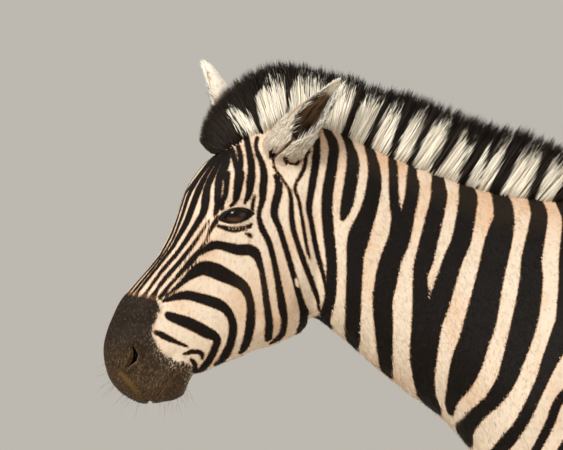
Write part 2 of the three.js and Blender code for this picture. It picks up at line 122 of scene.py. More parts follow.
# The tail: y, z, radius along y, radius along x.
DOCK = numbers("""
866,1226,26,30 904,1226,26,29 942,1202,25,27 970,1156,23,24 984,1098,21,21 990,1030,19,19 994,960,18,18
997,890,17,17 999,846,15,15
""")
TUFT = numbers("""
996,900,14,14 999,850,17,17 1001,800,27,25 1003,730,35,32 1003,660,36,33 1001,590,31,28 998,530,22,20
995,482,6,6
""")

# Soft swellings of muscle and bone: x, y, z, reach in x, y and z, height. Each has its mirror twin.
SWELLINGS = numbers("""
92,-838,1351,45,26,16,8 88,-875,1292,40,60,20,3 75,-755,1205,60,62,62,6 45,-1012,1085,30,26,24,5
36,-958,1040,40,30,24,4 80,-905,1190,40,40,40,-4 90,-770,1415,40,30,30,-7 70,-668,1260,60,30,110,-5
180,-190,1120,90,80,150,10 190,-300,890,90,70,90,16 205,-60,980,90,70,110,-8 60,-385,850,60,60,60,6
235,620,1215,90,70,60,8 238,500,1020,90,90,130,-12 210,800,1100,90,110,150,12
""")

# An ear as a scoop: share of its length, radius, half the opening in degrees, shift towards its mouth.
EAR_SCOOP = numbers("""
-.17,22,5,-16 0,34,5,-2 .14,36,7,3 .26,34,26,6 .4,32,52,9 .56,27.5,74,10 .72,21,88,8 .86,15.5,96,4
.95,10.5,100,1 1,5.5,100,0
""")


class Side(Enum):
    """The animal's two sides, by the sign of x."""

    LEFT = 1
    RIGHT = -1


@dataclass(frozen=True)
class Legs:
    """A pair of legs: its sections, its hooves' sections, and how far each foot stands behind the hip or shoulder."""

    slices: Array
    hoof: Array
    steps: dict[Side, float]
    pivot: float
    coarse: int

    def shift(self, side: Side, z: Array) -> Array:
        """How far the step moves a leg back at each height."""
        return self.steps[side] * np.clip((self.pivot - z) / (self.pivot - HOOF_TOP), 0, 1)

    def rims(self, z: Array) -> list[Array]:
        """The front, back, inner and outer reach of a leg at each height."""
        return [np.interp(-z, -self.slices[:, 0], column) for column in self.slices.T[1:]]


HOOF_TOP = 74
FORE = Legs(FORELEG, FORE_HOOF, {Side.LEFT: -28.0, Side.RIGHT: 34.0}, 900, 5)
HIND = Legs(HIND_LEG, HIND_HOOF, {Side.LEFT: 22.0, Side.RIGHT: -62.0}, 1000, 8)


def scoop(share: Array) -> list[Array]:
    """An ear's radius, opening and shift at some shares of its length."""
    return [np.interp(share, EAR_SCOOP[:, 0], column) for column in EAR_SCOOP.T[1:]]


def bulge(radius: Array, opening: Array) -> Array:
    """How far an ear that is more than half open is pushed back towards its mouth."""
    return radius * np.maximum(0, -np.cos(np.radians(opening))) * 0.6


@dataclass(frozen=True)
class EarPose:
    """Where one ear grows and how it is turned."""

    root: Triple
    tip: Triple
    mouth: Triple

    def axes(self) -> tuple[Array, Array, Array, Array, float]:
        """The ear's root, the directions to its tip, to its mouth and sideways, and its length."""
        base = np.array(self.root, float)
        axis = np.array(self.tip, float) - base
        length = float(np.linalg.norm(axis))
        axis /= length
        mouth = np.array(self.mouth, float)
        mouth -= axis * mouth.dot(axis)
        mouth /= np.linalg.norm(mouth)
        return base, axis, mouth, np.cross(axis, mouth), length

    def seen(self, points: Array) -> tuple[Array, Array, Array, Array, Array]:
        """Places in the ear's own frame.

        Args:
            points: Points on or near the ear.

        Returns:
            The share of the ear's length, how far towards the mouth from the root's line and sideways, how far
            towards the mouth from the scoop's middle, and how far inside the scoop's sheet.
        """
        base, axis, mouth, across, length = self.axes()
        gap = points - base
        share, front, wide = gap @ axis / length, gap @ mouth, gap @ across
        radius, opening, shift = scoop(share)
        deep = front - shift - bulge(radius, opening)
        return share, front, wide, deep, radius - 1 - np.interp(share, [0, 1], [2.1, 1.1]) - np.hypot(deep, wide)


EARS = {
    Side.LEFT: EarPose((60, -745, 1436), (80, -643, 1549), (1, 0.12, -0.1)),
    Side.RIGHT: EarPose((-60, -784, 1430), (-78, -877, 1587), (-0.55, -0.8, -0.5)),
}

# The nostril, the pale edge of the flap before it, the stained streak below it and the mouth, by y, z and reach.
NOSTRIL = numbers("-1003,1090,1 -1000,1083,2.6 -998,1075,4.4 -1000,1067,3.8 -1006,1060,1.4 -1013,1054,0")
FLAP = numbers("-1004,1086,1 -1009,1076,1 -1014,1066,1 -1019,1054,1")
STREAK = numbers("-1024,1044,3 -1007,1023,5 -989,1004,4")
MOUTH = numbers("-976,990,2.2 -963,1001,1.9 -950,1018,1.7 -940,1034,1.5 -930,1046,1.2 -918,1056,1")

# Soft forms under the hair, in the side plane: a height, how squarely a place must face sideways to take part,
# and a curve of y, z and reach.
FORMS = """\
3 .4 -850,1288,9 -878,1262,9 -902,1228,9 -924,1192,10
-2.6 .4 -872,1268,10 -868,1225,12 -872,1180,14
2.6 .3 -800,1112,14 -772,1122,14 -742,1150,14 -716,1196,13 -704,1250,12 -706,1305,11
-3 .3 -688,1170,9 -680,1230,9 -684,1300,10 -696,1350,11
-3 .4 -794,1352,12 -770,1368,13 -742,1384,13
2.2 .4 -846,1350,9 -826,1357,10 -802,1350,10
-1.8 .4 -884,1300,13 -862,1296,10
-1.8 .3 -1030,1118,10 -1012,1128,11 -990,1132,10
2 .3 -985,1050,12 -962,1072,12 -938,1092,12
1.6 .3 -956,1012,8 -940,1040,8 -924,1058,7
-1.4 .3 -976,1030,7 -955,1052,7 -930,1076,8
-7 .4 -650,1090,22 -560,1000,26 -470,920,28 -420,880,24
6 .4 -620,1180,36 -520,1110,42 -400,1040,46 -300,980,44
-4 .4 -560,1330,40 -420,1270,44 -300,1210,48
6 .4 -140,1290,26 -210,1160,28 -280,1030,30 -340,950,28
-5 .4 -90,1230,24 -150,1100,28 -170,1000,28
-7 .3 -140,900,26 -90,860,24 -70,800,20
4 .3 -320,860,20 -300,780,18 -280,700,16
-3 .3 -210,840,18 -190,760,16 -180,690,12
-9 .3 470,800,34 520,760,30 560,720,26
6 .4 520,960,40 560,860,40 600,780,34
5 .4 760,1230,30 800,1120,36 800,1000,36 780,900,30
-4 .4 850,1180,20 862,1080,22 846,980,22 822,900,20
-3.5 .3 640,760,22 700,700,18 760,650,14
2.5 .3 845,640,9 880,585,9 893,545,9
-3 .3 806,640,8 838,590,9 846,560,9
-1.6 .5 838,470,6 842,380,5 843,280,5
-1.6 .5 -196,390,6 -194,330,5 -192,250,5"""

# ------------------------------------------------------------------ markings, in the animal's side plane

# The two thin stripes by each ear's foot, one to a line; a backslash only breaks a line. Each point is y, z and
# half the stripe's width.
EAR_FOOT_STRIPES = """\
-752,1437,.9 -760,1430,3.9 -760,1416,3.5 -756,1402,1.9 -735,1370,1.9 -728,1353,2.7 -726,1314,4.2 -722,1290,4.1 \
-705,1238,4.2 -688,1194,4 -681,1173,2.9 -678,1154,2.1
-738,1420,1.6 -735,1411,2.8 -727,1406,2.6 -718,1408,2.3 -713,1413,1.2"""

# All the black stripes, by how much broader than written each half is laid.
BLACK_STRIPES = {
    0.9: """\
-673,1482,3.1 -654,1444,7.7 -655,1412,8.2 -664,1353,8.6 -664,1311,8.7 -657,1241,8.4 -657,1204,8.4 -660,1171,8.6 \
-668,1141,8.2 -670,1126,4.2
-634,1462,5.1 -625,1440,6 -620,1420,9.2 -620,1398,10.3 -628,1350,10.3 -633,1328,8.2 -637,1314,4.4
-590,1453,6.5 -591,1437,6.6 -586,1420,7.4 -582,1395,10.1 -583,1367,12.2 -587,1346,12.8 -595,1320,13.8 \
-605,1295,16.8 -611,1276,17.5 -616,1241,13.6 -620,1136,11.9 -620,1108,9.8 -619,1090,4.4
-549,1435,6.2 -551,1420,5.6 -549,1402,7 -548,1350,7.3 -544,1322,8.6 -539,1304,11.7
-508,1435,5.5 -516,1393,7.5 -515,1370,10.8 -518,1346,11.3 -526,1318,12.2 -533,1308,18.3 -540,1276,18 \
-554,1241,17.8 -562,1206,18.2 -568,1171,16.2 -567,1136,15.6 -563,1066,10.4 -559,1042,4.8
-461,1421,7.2 -467,1406,7.4 -470,1388,9.1 -470,1367,12.1 -471,1342,13.5 -496,1241,15 -503,1210,11.5 -500,1136,16.6 \
-504,1101,15.2 -504,1066,14.9 -500,1031,12 -492,1003,9.7 -481,986,5.9 -472,977,2.5
-412,1409,8 -420,1392,9 -421,1374,10.3 -419,1356,14.3 -419,1339,15.3 -431,1276,16 -446,1241,15.7 -474,1157,17.9 \
-482,1136,17.3 -489,1101,17.8 -493,1066,17.4 -495,1031,15.7 -488,1000,10.8 -479,982,6.3
-356,1392,10.2 -362,1374,10.2 -363,1358,11.5 -358,1337,15.6 -357,1311,17.4 -366,1276,22 -383,1206,22.7 \
-399,1136,26.2 -410,1101,25 -422,1066,26.1 -434,1033,20.8 -447,1003,11.3 -450,986,7 -450,975,3.5
-294,1388,6.1 -302,1353,8 -297,1332,12.1 -296,1311,13.9 -310,1241,16.7 -311,1206,18.8 -323,1136,21.1 \
-344,1066,17.2 -357,1031,15.3 -377,1000,12.9 -395,982,11.4 -414,961,12.2 -424,942,11 -423,926,5.2
-254,1364,8.3 -245,1337,14.3 -238,1308,16.6 -243,1241,18.9 -243,1206,19.8 -249,1138,19.8 -258,1115,18.3 \
-282,1066,12.2 -296,1031,9.3 -330,961,9.8 -355,926,10.7 -380,894,8.4 -397,870,4.3""",
    0.7: """\
-1016,1176,1 -1004,1193,.8 -964,1239,1 -951,1258,1 -933,1294,1.3 -913,1353,1.9 -904,1368,1.7 -859,1426,2.6
-1009,1178,1.3 -945,1258,1 -921,1309,1.6 -905,1356,2.5 -886,1389,2.9 -873,1406,3 -852,1428,2.5
-998,1176,3.2 -993,1188,1.8 -938,1258,2.3 -927,1276,2.9 -908,1311,4.4 -888,1364,4.8 -870,1398,2.6 -845,1428,1.8
-984,1176,3.9 -977,1188,1.9 -951,1224,2.6 -922,1258,2.9 -887,1311,4.5 -879,1327,5.7 -876,1346,6.6 -874,1364,5.3 \
-868,1381,4.9 -851,1415,3.3 -842,1428,2.2
-969,1174,6.3 -962,1188,2.2 -949,1206,3 -905,1258,2.7 -870,1309,.9
-956,1176,3.1 -931,1206,2.4 -900,1241,4.6 -888,1256,2.8 -875,1276,1.2 -867,1294,2.5 -854,1314,3.7""",
    1.4: """\
-860,1319,.8 -854,1337,5.6 -854,1355,5.2 -851,1383,6.4 -842,1409,5.7 -837,1432,2.1
-848,1332,2.8 -848,1343,4.1 -843,1355,4.7 -838,1392,3.8
-832,1335,1 -825,1342,2.2 -822,1353,4.8 -818,1379,7 -817,1392,6.6 -824,1411,3.6 -831,1434,3.3
-816,1398,3.5 -815,1420,3.3 -820,1440,2.6
-808,1340,.8 -801,1356,4.1 -797,1381,6.3 -796,1395,4.9 -797,1411,4.9 -805,1453,3.5
-795,1327,1.7 -794,1339,1.6 -790,1353,1""",
    0.5: EAR_FOOT_STRIPES + """
-187,1336,15.7 -182,1276,17.5 -184,1206,17.4 -194,1145,15.4 -208,1092,13.2 -227,1048,9.8 -246,1022,7.5 \
-268,996,7.3 -281,961,7.4 -308,908,6.6 -330,877,6.4 -348,852,3.6
-180,1045,6.4 -194,1014,7.8 -212,982,7.2 -236,952,7.1 -290,865,6.8 -308,835,4.5
-699,1448,2.8 -702,1430,3.3 -702,1412,2.9 -707,1395,2.9 -721,1367,2.1 -713,1341,2.4 -700,1264,2.2 -694,1244,1.3
-684,1465,4.5 -682,1448,4.9 -685,1406,6.3 -696,1336,4.9 -693,1311,3.6 -683,1258,3.9 -670,1210,2.8 -666,1185,1.7
-755,1388,2.6 -750,1376,5.1 -749,1362,6.4 -757,1327,6.1 -754,1311,5 -746,1292,4.4 -723,1215,4.4 -708,1159,5.3 \
-704,1136,5.2 -708,1120,4.7 -716,1108,2.7
-786,1454,2.8 -788,1435,3.3 -775,1398,5.3 -776,1364,6.3 -777,1346,4.8 -782,1328,3.5 -783,1314,3.5 -777,1294,4.9 \
-764,1267,4.4 -752,1215,4.6 -743,1162,6.6 -739,1140,5.1 -741,1118,4.4 -749,1104,4 -761,1096,1.6
-887,1252,3.1 -864,1266,6.6 -852,1267,6.6 -820,1259,8.8 -803,1259,9.1 -790,1255,8 -783,1238,5.2 -777,1216,4.2 \
-766,1138,6 -766,1118,6.5 -767,1103,5.2
-946,1174,2.4 -934,1187,2.3 -910,1208,5.2 -896,1219,8.8 -880,1227,11.5 -864,1224,12.6 -852,1219,13 -822,1204,9.8 \
-809,1194,8.4 -801,1178,6.3 -797,1157,6.6 -798,1132,7.7 -801,1112,7 -807,1092,5.6 -814,1080,2.8
-950,1170,2.4 -917,1179,6.6 -899,1178,7.7 -861,1167,9.1 -845,1159,8 -834,1146,6.6 -829,1131,6.6 -829,1112,6.6 \
-834,1092,6.6 -842,1075,6.3 -852,1061,3.9
-943,1146,4.5 -936,1142,7.4 -904,1130,9.8 -873,1114,9.5 -861,1108,7.4 -856,1098,6.3 -868,1070,5.6 -878,1055,5.2 \
-889,1043,2.6
-964,1115,3.1 -954,1111,4.9 -941,1104,4.5 -908,1090,1.2
-914,1077,1.4 -903,1080,3.1 -889,1081,3.5 -882,1076,3.5 -882,1069,1.8
-902,1068,2.1 -895,1058,4.2 -898,1046,4.2 -903,1034,2.4
-853,1300,2.1 -834,1295,4 -822,1294,4.2 -799,1300,2.8 -796,1304,1.8
-805,1287,1.8 -800,1285,3.4 -794,1281,2.4
-92,1334,12 -98,1270,17 -108,1190,20 -122,1100,19 -148,1010,15 -172,940,11 -190,892,5
-22,1321,13 -26,1250,20 -30,1160,24 -38,1060,24 -52,960,21 -74,870,17 -98,795,11 -112,758,5
60,1307,13 54,1240,21 50,1150,25 44,1040,26 34,930,24 16,820,19 -8,740,14 -20,690,9
142,1300,13 138,1230,21 136,1140,25 134,1030,27 130,920,25 122,810,20 112,730,15 104,680,10
225,1296,13 222,1230,20 224,1140,25 228,1030,27 230,920,25 228,810,20 220,665,10
306,1296,12 306,1235,19 314,1150,24 326,1050,26 336,940,24 342,830,19 348,660,9
386,1300,12 392,1248,17 410,1180,22 434,1095,25 452,1000,25 462,900,21 468,800,16 472,690,7
-284,818,2 -262,830,7 -226,840,9 -186,836,7 -154,822,3
-304,766,3 -280,778,9 -232,790,11 -182,786,9 -144,770,3
-300,716,4 -276,728,9 -226,738,11 -170,734,10 -130,718,5 -108,706,2
462,1308,8 488,1270,13 535,1238,17 605,1232,18 770,1254,15 845,1252,10 890,1240,5
478,1150,4 505,1136,13 545,1148,20 605,1168,23 680,1184,23 760,1196,21 845,1200,17 920,1188,10
492,1030,4 512,1028,13 560,1062,22 620,1090,25 700,1110,25 790,1122,23 880,1124,19 944,1112,10
500,905,4 520,915,13 570,962,22 640,1002,25 720,1028,25 800,1044,23 880,1050,18 936,1044,10
516,800,4 538,815,11 585,862,19 650,906,23 730,938,23 810,958,20 880,968,14 925,966,8
556,736,4 590,760,12 650,806,18 725,844,20 800,868,17 870,884,11 905,888,6
596,690,4 640,706,10 700,742,15 765,772,15 825,794,11 868,806,6
630,650,3 680,656,8 735,682,12 790,706,10 834,722,5
672,606,2 720,610,7 770,630,9 818,650,6 846,660,3""",
}

# Black strokes down the forehead, seen from the front: each point is x, z and half the stripe's width.
FOREHEAD = """\
0,1432,5 0,1368,5 0,1205,1.4
12,1424,2 17,1398,4.5 16,1370,4.5 8,1326,1
-12,1420,2 -16,1396,4.5 -17,1372,4.5 -9,1322,1"""

# White strokes laid over the black: lash roots below the eye, and nicks in stripes.
WHITE_STROKES = """\
-835.4,1298.4,1.1 -834.5,1296,.9
-829.2,1297.7,1.1 -828.9,1294.5,.9
-823.3,1297.3,1.1 -823.3,1294.2,.9
-817.3,1297.7,1.1 -817.7,1294.9,.9
-811.8,1299.1,1 -812.1,1296.7,.7
-806.5,1300.8,.9 -807,1298.4,.7
-717.6,1206.9,4.2 -716.2,1197.2,3.5
-845.7,1379.2,.9 -845.7,1367,1.2 -847.5,1351.2,1.1"""

# Rings round the legs: height, tilt from front to back, half width, share of the way round from the outside.
FORE_RINGS = numbers("""
694,14,10,1 658,12,9,1 614,9,8,1 572,6,7.5,1 532,3,6.5,1 496,0,6,1 462,-2,6,1 430,-3,7,1 398,-4,6,1
364,-3,4.4,.9 330,0,3.8,.8 296,3,3.6,.7 262,4,3.6,.7 230,5,4,.8 198,6,4.8,1 168,8,4.4,1 140,9,4,1
""")
HIND_RINGS = numbers("""
572,-14,7.5,1 536,-10,7,1 502,-4,6.5,1 468,0,5.5,1 434,2,4.6,.9 398,3,4.4,.85 362,3,4,.8 326,3,3.8,.7
290,4,3.8,.7 256,5,3.8,.75 224,6,4.2,.9 194,7,4.8,1 164,8,4.4,1 138,9,4,1
""")

# The edge of the dark muzzle in the side plane: all that lies before and below it is dark.
MUZZLE_EDGE = numbers("""
-1040,1188 -1013,1184 -992,1180 -975,1176 -962,1170 -956,1158 -961,1145 -967,1130 -971,1114 -966,1102 -957,1087
-944,1073 -930,1065 -916,1062 -904,1060 -899,1048 -898,1030 -898,960 -1140,960 -1140,1188
""")

# Black bands of the mane in the side plane, rooted where the neck's stripes end.
MANE_BANDS = """\
-808,1456,6 -831,1472,24 -852,1484,36 -872,1470,38
-812,1446,8 -840,1440,16 -868,1434,22
-876,1440,26 -884,1468,36 -866,1512,38 -838,1548,34 -800,1570,26
-779,1459,4.5 -789,1486,7 -806,1516,17 -818,1542,30 -806,1560,34
-733,1502,2 -733,1530,3 -730,1550,6 -727,1566,12
-675,1474,3 -671,1500,5 -655,1560,9
-634,1458,6 -621,1494,5 -600,1542,8
-590,1450,7 -562,1512,6 -549,1532,10
-548,1436,6 -524,1496,9 -512,1514,14
-509,1434,5 -488,1478,6 -479,1496,8 -465,1515,11
-462,1424,8 -448,1444,9 -441,1462,9 -425,1500,14
-423,1424,2 -417,1448,4 -400,1490,9
-412,1410,8 -378,1478,15
-390,1398,2 -366,1456,7 -356,1474,10
-356,1392,10 -336,1434,11 -325,1456,13 -314,1474,16
-297,1378,7 -281,1416,9 -272,1440,12 -262,1460,14
-250,1362,8 -234,1390,11 -222,1420,14
-196,1348,8 -184,1374,12 -176,1392,14"""
# The white wedge that parts the black of the forelock.
MANE_WEDGE = numbers("-793,1459,12 -803,1471,14 -813,1482,14 -824,1493,11 -833,1502,6")
# The mane is black above this line of y and z.
MANE_EDGE = numbers("-900,1530 -850,1560 -768,1556 -712,1561 -624,1542 -537,1507 -467,1489 -397,1451 -292,1433 "
                    "-230,1402 -170,1372")

# ------------------------------------------------------------------ small sums


def linear_colour(code: str) -> tuple[float, float, float, float]:
    """Turns an sRGB hex value, six digits after a hash sign, into a linear colour with alpha."""
    parts = [int(code[i:i + 2], 16) / 255 for i in (1, 3, 5)]
    return (*(p / 12.92 if p <= 0.04045 else ((p + 0.055) / 1.055) ** 2.4 for p in parts), 1.0)


def row_at(table: Array, stations: Array | float) -> Array:
    """Rows of numbers on a smooth curve through a table's rows.

    Args:
        table: The rows.
        stations: Where on the curve, counted in rows.

    Returns:
        One row per station.
    """
    t = np.atleast_1d(np.asarray(stations, float))
    last = len(table) - 1
    i = np.clip(np.floor(t).astype(int), 0, last - 1)
    f = (t - i)[:, None]
    a, b, d, e = (table[np.clip(i + k, 0, last)] for k in (-1, 0, 1, 2))
    return b + 0.5 * f * (d - a + f * (2 * a - 5 * b + 4 * d - e + f * (3 * (b - d) + e - a)))


def even_curve(points: Array, spacing: float) -> Array:
    """Resamples a smooth curve at an even spacing, carrying along any column after the first two.

    Args:
        points: Rows of places.
        spacing: The distance between the new ones.

    Returns:
        The new rows.
    """
    fine = row_at(points, np.linspace(0, len(points) - 1, 16 * len(points)))
    steps = np.linalg.norm(np.diff(fine[:, :2], axis=0), axis=1)
    run = np.concatenate([[0], np.cumsum(steps)])
    at = np.linspace(0, run[-1], max(2, int(run[-1] / spacing) + 1))
    return np.stack([np.interp(at, run, column) for column in fine.T], axis=1)


def ease(low: float, high: float, value: Array) -> Array:
    """A smooth step from 0 at low to 1 at high."""
    t = np.clip((value - low) / (high - low), 0, 1)
    return t * t * (3 - 2 * t)


def bell(value: Array, width: Array | float) -> Array:
    """A bell curve: 1 at zero, falling away over a width."""
    return np.exp(-(value / width) ** 2)


def unit(vectors: Array) -> Array:
    """Vectors brought to length one."""
    return vectors / np.maximum(np.linalg.norm(vectors, axis=-1, keepdims=True), 1e-9)


def row_of(*parts: Array | float) -> Array:
    """Columns side by side, of which some may be single numbers."""
    return np.stack(np.broadcast_arrays(*parts), axis=-1)


def squared(value: Array, power: Array | float) -> Array:
    """A cosine or sine bent to a superellipse's corner."""
    return np.sign(value) * np.abs(value) ** (2 / power)


def swelling(points: Array) -> Array:
    """How far the swellings lift the surface.

    Args:
        points: Points on it.

    Returns:
        One height per point.
    """
    lift = np.zeros(points.shape[:-1])
    for x, y, z, rx, ry, rz, height in SWELLINGS:
        d = ((np.abs(points[..., 0]) - x) / rx) ** 2 + ((points[..., 1] - y) / ry) ** 2
        lift += height * np.exp(-d - ((points[..., 2] - z) / rz) ** 2)
    return lift


def body_slices(rows: Array, angles: Array, grow: Array, swell: bool = True) -> Array:
    """Slanting slices of the body or mane as loops of points.

    Args:
        rows: Rows like those of BODY.
        angles: Places round each loop, from the top.
        grow: How far each loop is grown outwards.
        swell: Whether the swellings lift it.

    Returns:
        Points by slice and angle.
    """
    top_y, top_z, low_y, low_z, half, level, above, below = (c[:, None] for c in rows.T)
    cos, sin = np.cos(angles)[None], np.sin(angles)[None]
    high = cos >= 0
    power = np.where(high, above, below)
    height = level + squared(cos, power) * np.where(high, 1 - level, level)
    up_y, up_z = top_y - low_y, top_z - low_z
    points = row_of(half * squared(sin, power), low_y + up_y * height, low_z + up_z * height)
    middle = row_of(0, low_y + up_y * level, low_z + up_z * level)
    lift = grow[:, None] + (swelling(points) if swell else 0)
    return points + unit(points - middle) * lift[..., None]


def leg_slices(rows: Array, legs: Legs, side: Side, around: int, grow: Array, power: float = 2.2) -> Array:
    """Level slices of a leg or hoof as loops of points.

    Args:
        rows: Rows like those of FORELEG.
        legs: The pair that the leg belongs to.
        side: The side that it is on.
        around: Points round each loop.
        grow: How far each loop is grown outwards.
        power: The roundness of each loop.

    Returns:
        Points by slice and angle.
    """
    z, front, back, inner, outer = (c[:, None] for c in rows.T)
    angle = -side.value * 2 * np.pi * np.arange(around)[None] / around
    reach_x, reach_y = (outer - inner) / 2 + grow[:, None], (back - front) / 2 + grow[:, None]
    x = side.value * ((inner + outer) / 2) + reach_x * squared(np.sin(angle), power)
    y = (front + back) / 2 - reach_y * squared(np.cos(angle), power) + legs.shift(side, z)
    return row_of(x, y, z)


def hanging_slices(table: Array, stations: Array, around: int, grow: float) -> Array:
    """Loops of points square to the line of a hanging tube.

    Args:
        table: Rows like those of DOCK.
        stations: Where along it, counted in rows.
        around: Points round each loop.
        grow: How far each loop is grown outwards.

    Returns:
        Points by slice and angle.
    """
    rows, before, after = (row_at(table, np.clip(stations + d, 0, len(table) - 1)) for d in (0, -0.3, 0.3))
    way = unit(after[:, :2] - before[:, :2])
    angle = 2 * np.pi * np.arange(around) / around
    across, along = rows[:, 3:] + grow, rows[:, 2:3] + grow
    y = rows[:, :1] + way[:, 1:] * -along * np.sin(angle)
    z = rows[:, 1:2] + way[:, :1] * along * np.sin(angle)
    return row_of(across * np.cos(angle), y, z)


def outward(points: Array, faces: Faces) -> Faces:
    """A closed mesh's faces, turned round if they point inwards."""
    corners = np.array([(f[0], f[1], f[2]) for f in faces] + [(f[0], f[2], f[-1]) for f in faces])
    a, b, c = (points[corners[:, k]] for k in range(3))
    return faces if np.einsum("ij,ij->i", a, np.cross(b, c)).sum() > 0 else [f[::-1] for f in faces]


def tube(rings: Array) -> tuple[Array, Faces]:
    """A closed tube with a fan at each end.

    Args:
        rings: Points by ring and place round it.

    Returns:
        Its points and outward faces.
    """
    count, around, _ = rings.shape
    points = np.concatenate([rings.reshape(-1, 3), rings[:1].mean(axis=1), rings[-1:].mean(axis=1)])
    base = np.arange(count - 1)[:, None] * around
    i, j = np.arange(around)[None], (np.arange(around)[None] + 1) % around
    quads = np.stack([base + i, base + around + i, base + around + j, base + j], -1).reshape(-1, 4)
    first, last = count * around, (count - 1) * around
    fans = [(first, k, (k + 1) % around) for k in range(around)]
    fans += [(first + 1, last + (k + 1) % around, last + k) for k in range(around)]
    return points, outward(points, [tuple(q) for q in quads.tolist()] + fans)


def polygon_field(places: Array, corners: Array) -> Array:
    """The signed distance to a polygon, negative inside.

    Args:
        places: Places in the polygon's plane.
        corners: Its corners.

    Returns:
        One distance per place.
    """
    a, b = corners, np.roll(corners, -1, axis=0)
    ab = b - a
    ap = places[:, None] - a[None]
    t = np.clip(np.einsum("psk,sk->ps", ap, ab) / (ab * ab).sum(1), 0, 1)
    away = np.linalg.norm(ap - t[..., None] * ab, axis=2).min(axis=1)
    crosses = (a[:, 1] > places[:, 1:2]) != (b[:, 1] > places[:, 1:2])
    slope = a[:, 0] + (places[:, 1:2] - a[:, 1]) * ab[:, 0] / np.where(ab[:, 1] == 0, 1e-9, ab[:, 1])
    inside = (crosses & (places[:, :1] < slope)).sum(axis=1) % 2 == 1
    return np.where(inside, -away, away)


def to_stroke(points: Array, stroke: Array) -> Array:
    """Finds the nearest place on a tapering curve.

    Args:
        points: Points with as many columns as the curve, less its last.
        stroke: Rows of a place and the half width there.

    Returns:
        The distances to the curve, and its half widths at those places.
    """
    a, b = stroke[:-1], stroke[1:]
    ab = b[:, :-1] - a[:, :-1]
    found = []
    for some in np.array_split(points, len(points) // 6000 + 1):
        ap = some[:, None] - a[None, :, :-1]
        t = np.clip(np.einsum("psk,sk->ps", ap, ab) / np.maximum((ab * ab).sum(1), 1e-9), 0, 1)
        away = np.linalg.norm(ap - t[..., None] * ab, axis=2)
        half = a[:, -1] + (b[:, -1] - a[:, -1]) * t
        pick = np.arange(len(some)), (away - half).argmin(axis=1)
        found.append([away[pick], half[pick]])
    return np.concatenate(found, axis=1)


def to_edge(points: Array, stroke: Array) -> Array:
    """The signed distance to a tapering curve's edge, negative inside."""
    away, half = to_stroke(points, stroke)
    return away - half


def stroke_field(points: Array, strokes: list[Array], far: float = 60.0) -> Array:
    """The signed distance to the nearest of many strokes, negative inside.

    Args:
        points: Points.
        strokes: Each stroke as rows of a place and the half width there.
        far: The distance where none is near.

    Returns:
        One distance per point.
    """
    result = np.full(len(points), far)
    for stroke in strokes:
        reach = stroke[:, -1].max() + 26
        low, high = stroke[:, :-1].min(0) - reach, stroke[:, :-1].max(0) + reach
        near = np.nonzero(np.all((points > low) & (points < high), axis=1))[0]
        result[near] = np.minimum(result[near], to_edge(points[near], stroke))
    return result


# ------------------------------------------------------------------ meshes


def flat_mesh(name: str, points: Array, faces: Array) -> Mesh:
    """A smooth mesh of faces that all have the same number of corners.

    Args:
        name: Its name.
        points: Its points, in millimetres.
        faces: Its faces, one to a row.

    Returns:
        The mesh.
    """
    mesh = bpy.data.meshes.new(name)
    mesh.vertices.add(len(points))
    mesh.vertices.foreach_set("co", (points * MM).astype(np.float32).ravel())
    mesh.loops.add(faces.size)
    mesh.loops.foreach_set("vertex_index", faces.astype(np.int32).ravel())
    mesh.polygons.add(len(faces))
    mesh.polygons.foreach_set("loop_start", np.arange(len(faces), dtype=np.int32) * faces.shape[1])
    mesh.update(calc_edges=True)
    mesh.shade_smooth()
    return mesh


def mixed_mesh(name: str, points: Array, faces: Faces) -> Mesh:
    """A smooth mesh of faces of any size, from points in millimetres."""
    mesh = bpy.data.meshes.new(name)
    mesh.from_pydata((points * MM).tolist(), [], faces)
    mesh.shade_smooth()
    return mesh


def placed(name: str, data: bpy.types.ID) -> Piece:
    """Puts a mesh, a lamp or a camera in the scene as an object at the origin."""
    piece = bpy.data.objects.new(name, data)
    bpy.context.scene.collection.objects.link(piece)
    return piece


def read(items: bpy.types.bpy_prop_collection, key: str, width: int = 1, kind: type = np.int32) -> Array:
    """What a mesh's list holds under a key: a number or a row of numbers for each item."""
    values = np.empty(len(items) * width, kind)
    items.foreach_get(key, values)
    return values if width == 1 else values.reshape(-1, width)


def points_of(mesh: Mesh) -> Array:
    """A mesh's points, in millimetres."""
    return read(mesh.vertices, "co", 3, np.float32).astype(float) / MM


def normals_of(mesh: Mesh) -> Array:
    """The normals at a mesh's points."""
    return read(mesh.vertex_normals, "vector", 3, np.float32).astype(float)


def move(mesh: Mesh, points: Array) -> None:
    """Puts a mesh's points in new places, in millimetres."""
    mesh.vertices.foreach_set("co", (points * MM).ravel())
    mesh.update()


def store(mesh: Mesh, name: str, values: Array, domain: str = "POINT") -> None:
    """Keeps one number or vector on a mesh for each of its points or, in the other domain, corners."""
    kind, key = ("FLOAT", "value") if values.ndim == 1 else ("FLOAT_VECTOR", "vector")
    mesh.attributes.new(name, kind, domain).data.foreach_set(key, values.astype(np.float32).ravel())


def finished(name: str, mesh: Mesh, material: Material, **values: Array) -> Piece:
    """Makes a piece of a mesh.

    Args:
        name: The piece's name.
        mesh: Its mesh.
        material: Its material.
        values: Numbers to keep on it, one per point.

    Returns:
        The piece.
    """
    for key, numbers_ in values.items():
        store(mesh, key, numbers_)
    mesh.materials.append(material)
    log.info("%s: %d faces", name, len(mesh.polygons))
    return placed(name, mesh)


